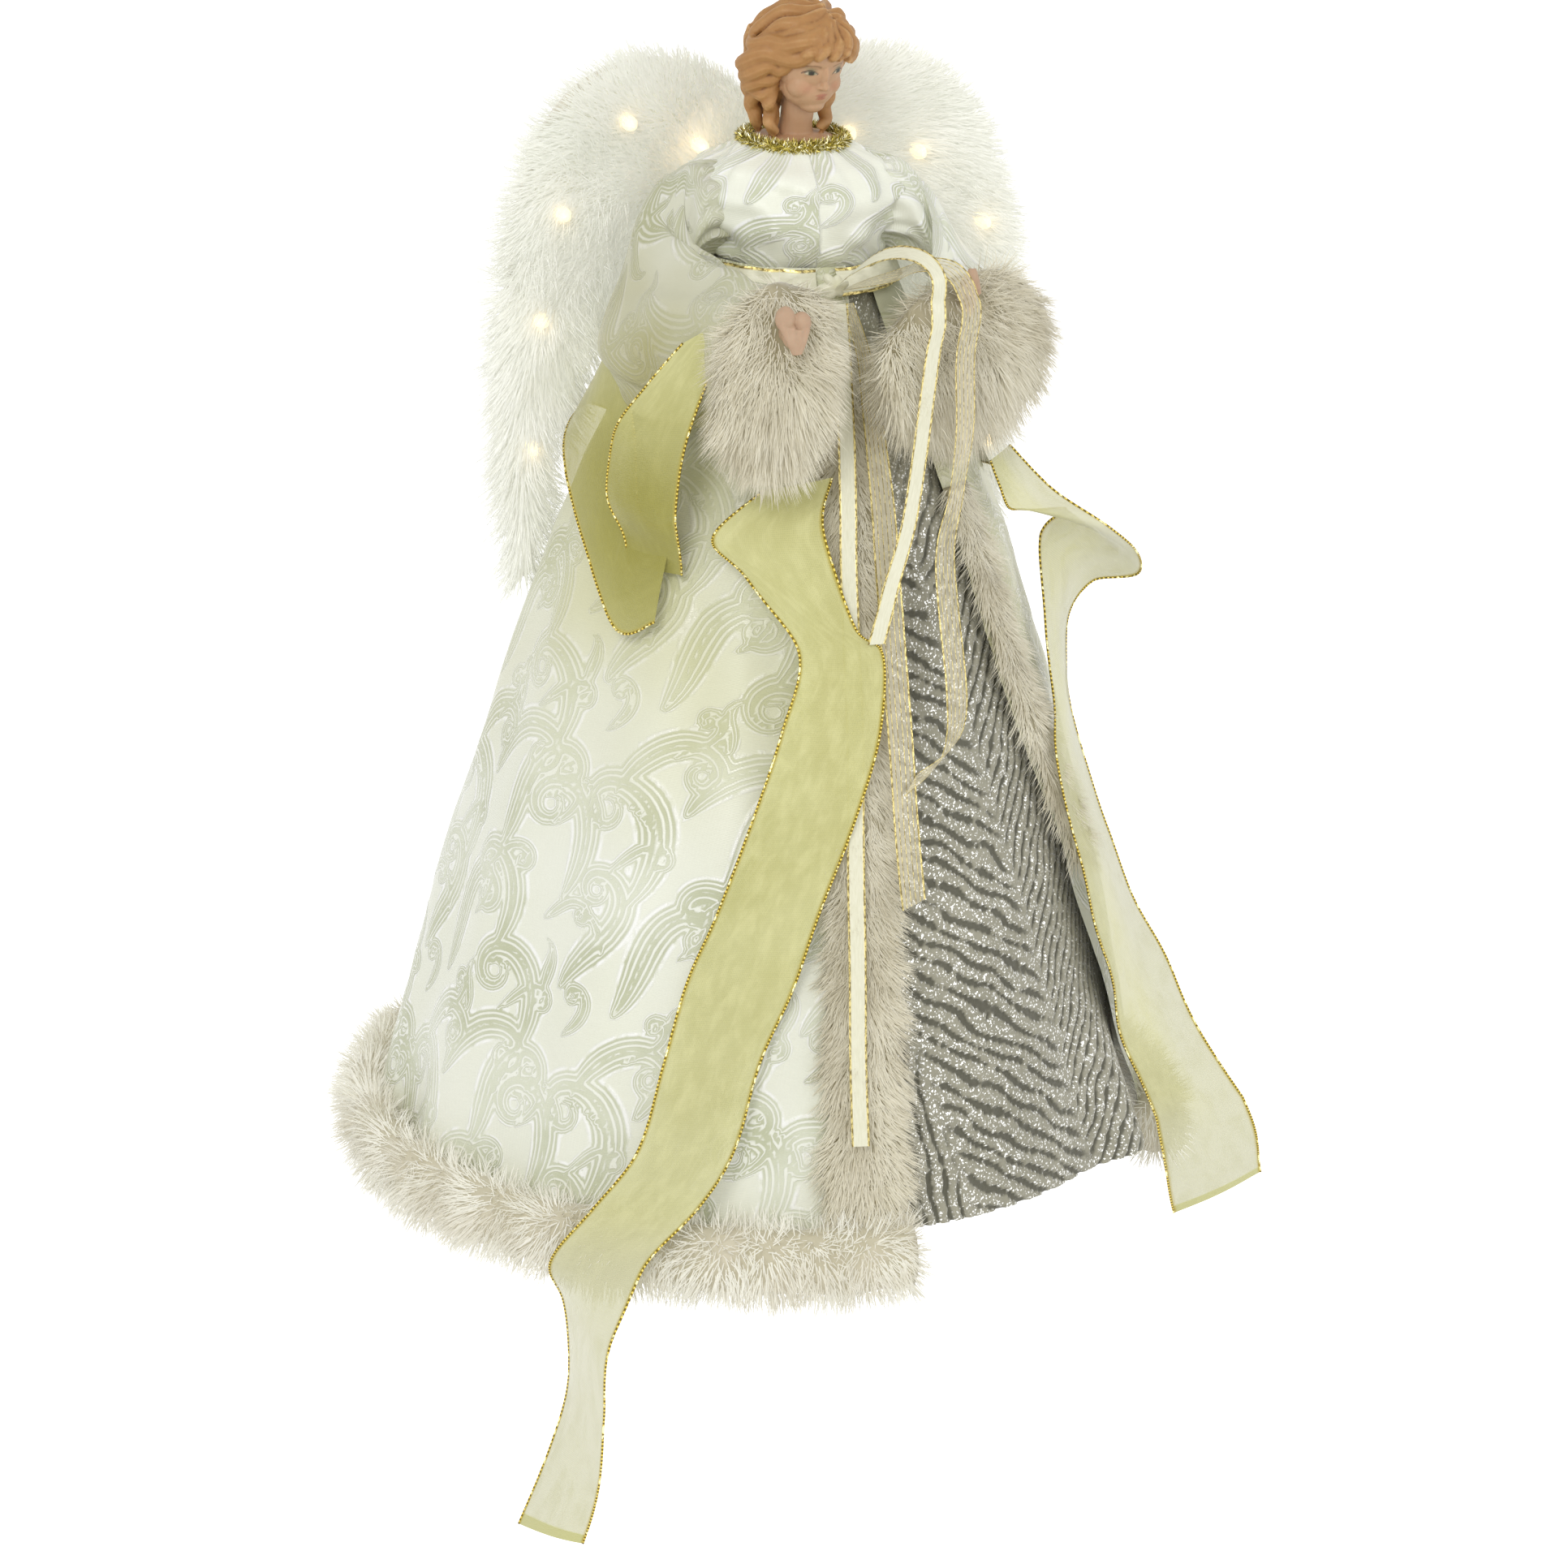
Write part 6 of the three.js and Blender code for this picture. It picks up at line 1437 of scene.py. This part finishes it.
for narrow_name, (width, finish, rows) in narrow_routes.items():
    grid, flat, length = lay_ribbon(rows, width, narrow_columns, narrow_flutter, len(rows))
    middle = narrow_columns // 2
    if narrow_name.endswith("center"):
        ribbon = ribbon_piece(narrow_name + "_ribbon", grid, flat, finish, 0.0)
        tie_on(ribbon, narrow_name)
        continue
    for part, rows_kept in [("upper", slice(0, cuff_row + 1)), ("lower", slice(cuff_row, None))]:
        piece_grid, piece_flat = grid[rows_kept], flat[rows_kept]
        ribbon = ribbon_piece(f"{narrow_name}_{part}_ribbon", piece_grid, piece_flat, finish, 0.0)
        reach = float(piece_flat[-1, 0, 1] - piece_flat[0, 0, 1])
        give = (give_from, 0, 0), (give_to, 0, 0)
        if part == "lower":  # it starts with as much give as the upper part has at its end
            low, top = piece_grid[-1, middle] * 0.001, piece_grid[0, middle] * 0.001
            full_give = low[2] + (top[2] - low[2]) * (give_to - give_from) / (top[0] - give_from)
            give = (0, 0, float(low[2])), (0, 0, float(full_give))
        tie_on(ribbon, f"{narrow_name}_{part}",
               give)

waist_radius, waist_level, waist_columns = 35.4, 296.7, 9
waist_turn = np.linspace(6, 354, 150)[:, None]
waist_side = np.linspace(-4.2, 4.2, waist_columns)[None, :]
waist_pucker = (0.35 * np.sin(np.radians(waist_turn) * 23 + waist_side * 0.5)
                + 0.3 * soft_noise(waist_turn / 12, waist_side / 5, 55))
waist_outside = waist_radius - 0.45 * waist_side + waist_pucker
waist_grid = polar(waist_turn + 4, waist_outside, waist_level + waist_side)
waist_flat = together(waist_side * 0.7, np.radians(waist_turn) * waist_radius)
waist_ribbon = ribbon_piece("waist_ribbon", waist_grid, waist_flat, satin, 0.0)
knot_place = np.array([3.0, -38.8, waist_level])
knot_forms = []
for knot_turn, knot_tip, knot_size in [(0.2, 0.1, 3.4), (1.2, -0.5, 3.0), (2.2, 0.4, 3.2)]:
    angle = np.linspace(-1.7, 1.7, 22)
    loop = together(knot_size * np.sin(angle) * math.cos(knot_turn) * 1.2, -1.6 * np.cos(angle) - 0.6,
                    knot_size * np.sin(angle) * math.sin(knot_turn) + knot_tip)
    knot_forms.append(rope(knot_place + loop, 1.5 + 0.3 * np.cos(angle), 8))
knot = cast("waist_knot_satin", knot_forms, 0.35, 3)
knot.data.materials.append(satin.material)
for knot_piece, knot_node in [(waist_ribbon, "waist_band"), (knot, "waist_knot")]:
    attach(knot_piece, "root")
    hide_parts(knot_node)


# Wings: long soft down on both faces of the card, combed outwards at the top and falling into long
# strands at the tips. The mini lights sit in it and glow through.

down = pile_finish("wing_down", root=dye(228, 227, 212), body=dye(244, 244, 236),
                   tip=dye(255, 255, 252), warm=dye(238, 239, 230), lift=0.12)
wing_wide, wing_high, wing_foot = 88, 181, 180
wing_outer = [  # shares of a wing's width and height, from its root over the top to its tip
    (.05, .9), (.2, .955), (.45, 1), (.68, .97), (.85, .89), (.95, .77), (1, .62), (1, .42), (.99, .24),
    (.96, .1), (.91, 0)]
wing_inner = [(.05, .9), (.06, .72), (.24, .64), (.42, .56), (.6, .47), (.75, .36), (.85, .22), (.87, .09),
              (.91, 0)]


def even_line(points, count):
    """The same line with points at even distances."""
    line = smooth_rows(points, 12)
    run = run_along(line * (wing_wide, wing_high))
    at = np.linspace(0, run[-1], count)
    return np.stack([np.interp(at, run, line[:, k]) for k in (0, 1)], -1)


def wing_layer(name, side, root_depth, face_depth, hairs, seed):
    """One layer of down on one wing: a pillow from the card to its face, and the hair on it."""
    rows, columns = 70, 24
    outer, inner = even_line(wing_outer, rows), even_line(wing_inner, rows)
    run = np.linspace(0, 1, rows)[:, None]
    across = np.linspace(0, 1, columns)[None, :]
    full = np.sin(np.pi * across) ** 0.45 * np.sin(np.pi * np.clip(run, 0.01, 0.99)) ** 0.35
    spread = inner[:, None, :] + (outer - inner)[:, None, :] * (across[..., None] * 0.86 + 0.06)
    x, z = side * wing_wide * spread[..., 0], wing_foot + wing_high * spread[..., 1]
    face = root_depth + (face_depth - root_depth) * full * (1 + 0.14 * soft_noise(x / 30, z / 30, seed))
    front = np.stack([x, face, z], -1)
    back = np.stack([x, np.full(x.shape, root_depth), z], -1)[:, ::-1]
    points = np.concatenate([front, back], 1)
    fan = (outer - inner) * (side * wing_wide, wing_high)
    fan /= np.linalg.norm(fan, axis=1)[:, None] + 1e-6
    fall = np.gradient(outer, axis=0) * (side * wing_wide, wing_high)
    fall /= np.linalg.norm(fall, axis=1)[:, None] + 1e-6
    low = np.clip((run - 0.15) / 0.5, 0, 1)
    flow = fan * (0.95 - 0.75 * low) + fall * (0.12 + 0.8 * low) + np.array([0, -0.12])
    swirl = soft_noise(x / 24, z / 24, seed + 3)[..., None]
    comb = np.concatenate([flow[:, None, :1] + 0.25 * swirl * fan[:, None, 1:], 0 * swirl,
                           flow[:, None, 1:] - 0.25 * swirl * fan[:, None, :1]], -1)
    comb = np.concatenate([comb, comb[:, ::-1]], 1)
    thick = np.concatenate([np.ones(x.shape), np.zeros(x.shape)], 1)
    long = np.concatenate([0.75 + 0.75 * low * np.ones(x.shape)] * 2, 1)
    backing = make_piece(name + "_backing", points, closed_roll(rows, 2 * columns), down, comb=comb,
                         thick=thick, long=long)
    return settle(backing, grown_pile, name, Hairs_per_m2=hairs, Length=0.0125, Width=0.0005, Lean=0.6,
                  Stray=0.22, Sag=0.12, Tuft=48.0, Tuft_pull=0.75, Seed=seed, Hair=down.material)


wing_faces = [  # depth of the card and of the down's face, hairs per square metre, seed
    ("front", 37.4, 29.5, 2100000.0, 20), ("back", 40.2, 46.5, 1100000.0, 24)]
for wing_name, side in [("right", -1), ("left", 1)]:
    for face_name, root_depth, face_depth, hairs, face_seed in wing_faces:
        layer = wing_layer(f"wing_down_{face_name}_{wing_name}", side, root_depth, face_depth, hairs,
                           face_seed + side)
        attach(layer, "root")
        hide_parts(f"wing_feathers_{face_name}_{wing_name}")


# Lights: ten mini lamps in moulded sockets, pushed through the card from behind, five to a wing. One
# lead joins them along the back of the card.

socket_finish = Finish("lamp_socket", Roughness=0.45)
socket_cloud = socket_finish.noise(socket_finish.place(), 300, 3)
socket_finish.set("Base Color", socket_finish.mix(socket_cloud, dye(232, 230, 222), dye(244, 243, 238)))
socket_finish.relief(socket_cloud, 0.1, 0.0002)
finish_nodes([f"socket_{k}" for k in range(1, 11)], socket_finish)

lead_finish = Finish("lead_insulation", Roughness=0.5)
lead_cloud = lead_finish.noise(lead_finish.place(), 160, 3)
lead_finish.set("Base Color", lead_finish.mix(lead_cloud, dye(222, 222, 212), dye(236, 236, 228)))
lead_finish.relief(lead_cloud, 0.12, 0.0002)
finish_nodes(["light_lead"], lead_finish)

bulb_finish = Finish("lit_bulb", Roughness=0.1, Transmission_Weight=0.4, IOR=1.45, Emission_Strength=0.5)
bulb_finish.set("Emission Color", dye(255, 230, 190))
bulb_streak = bulb_finish.noise(bulb_finish.place(), 500, 2)
bulb_finish.set("Base Color", bulb_finish.mix(bulb_streak, dye(255, 240, 208), dye(255, 249, 232)))
finish_nodes([f"bulb_{k}" for k in range(1, 11)], bulb_finish)

lamp_depth, lamp_watts = 0.0165, 0.0008
lamp_places = [  # aside, height, and how bright it shows
    (-24, 329.1, 5.0), (-49, 338, 0.07), (-71, 308, 0.07), (-78, 271.9, 0.05), (-80.3, 228, 0.04),
    (27, 332, 0.08), (52, 325, 0.09), (76, 300, 0.09), (81, 260, 0.04), (80.3, 223.4, 0.04)]
for k, (x, z, power) in enumerate(lamp_places, 1):
    glow = bpy.data.lights.new(f"glow_{k}", "POINT")
    glow.energy, glow.color, glow.shadow_soft_size = lamp_watts * power, (1.0, 0.62, 0.26), 0.0025
    lamp = new_object(f"glow_{k}", glow)
    lamp.location = (x * 0.001, lamp_depth, z * 0.001)
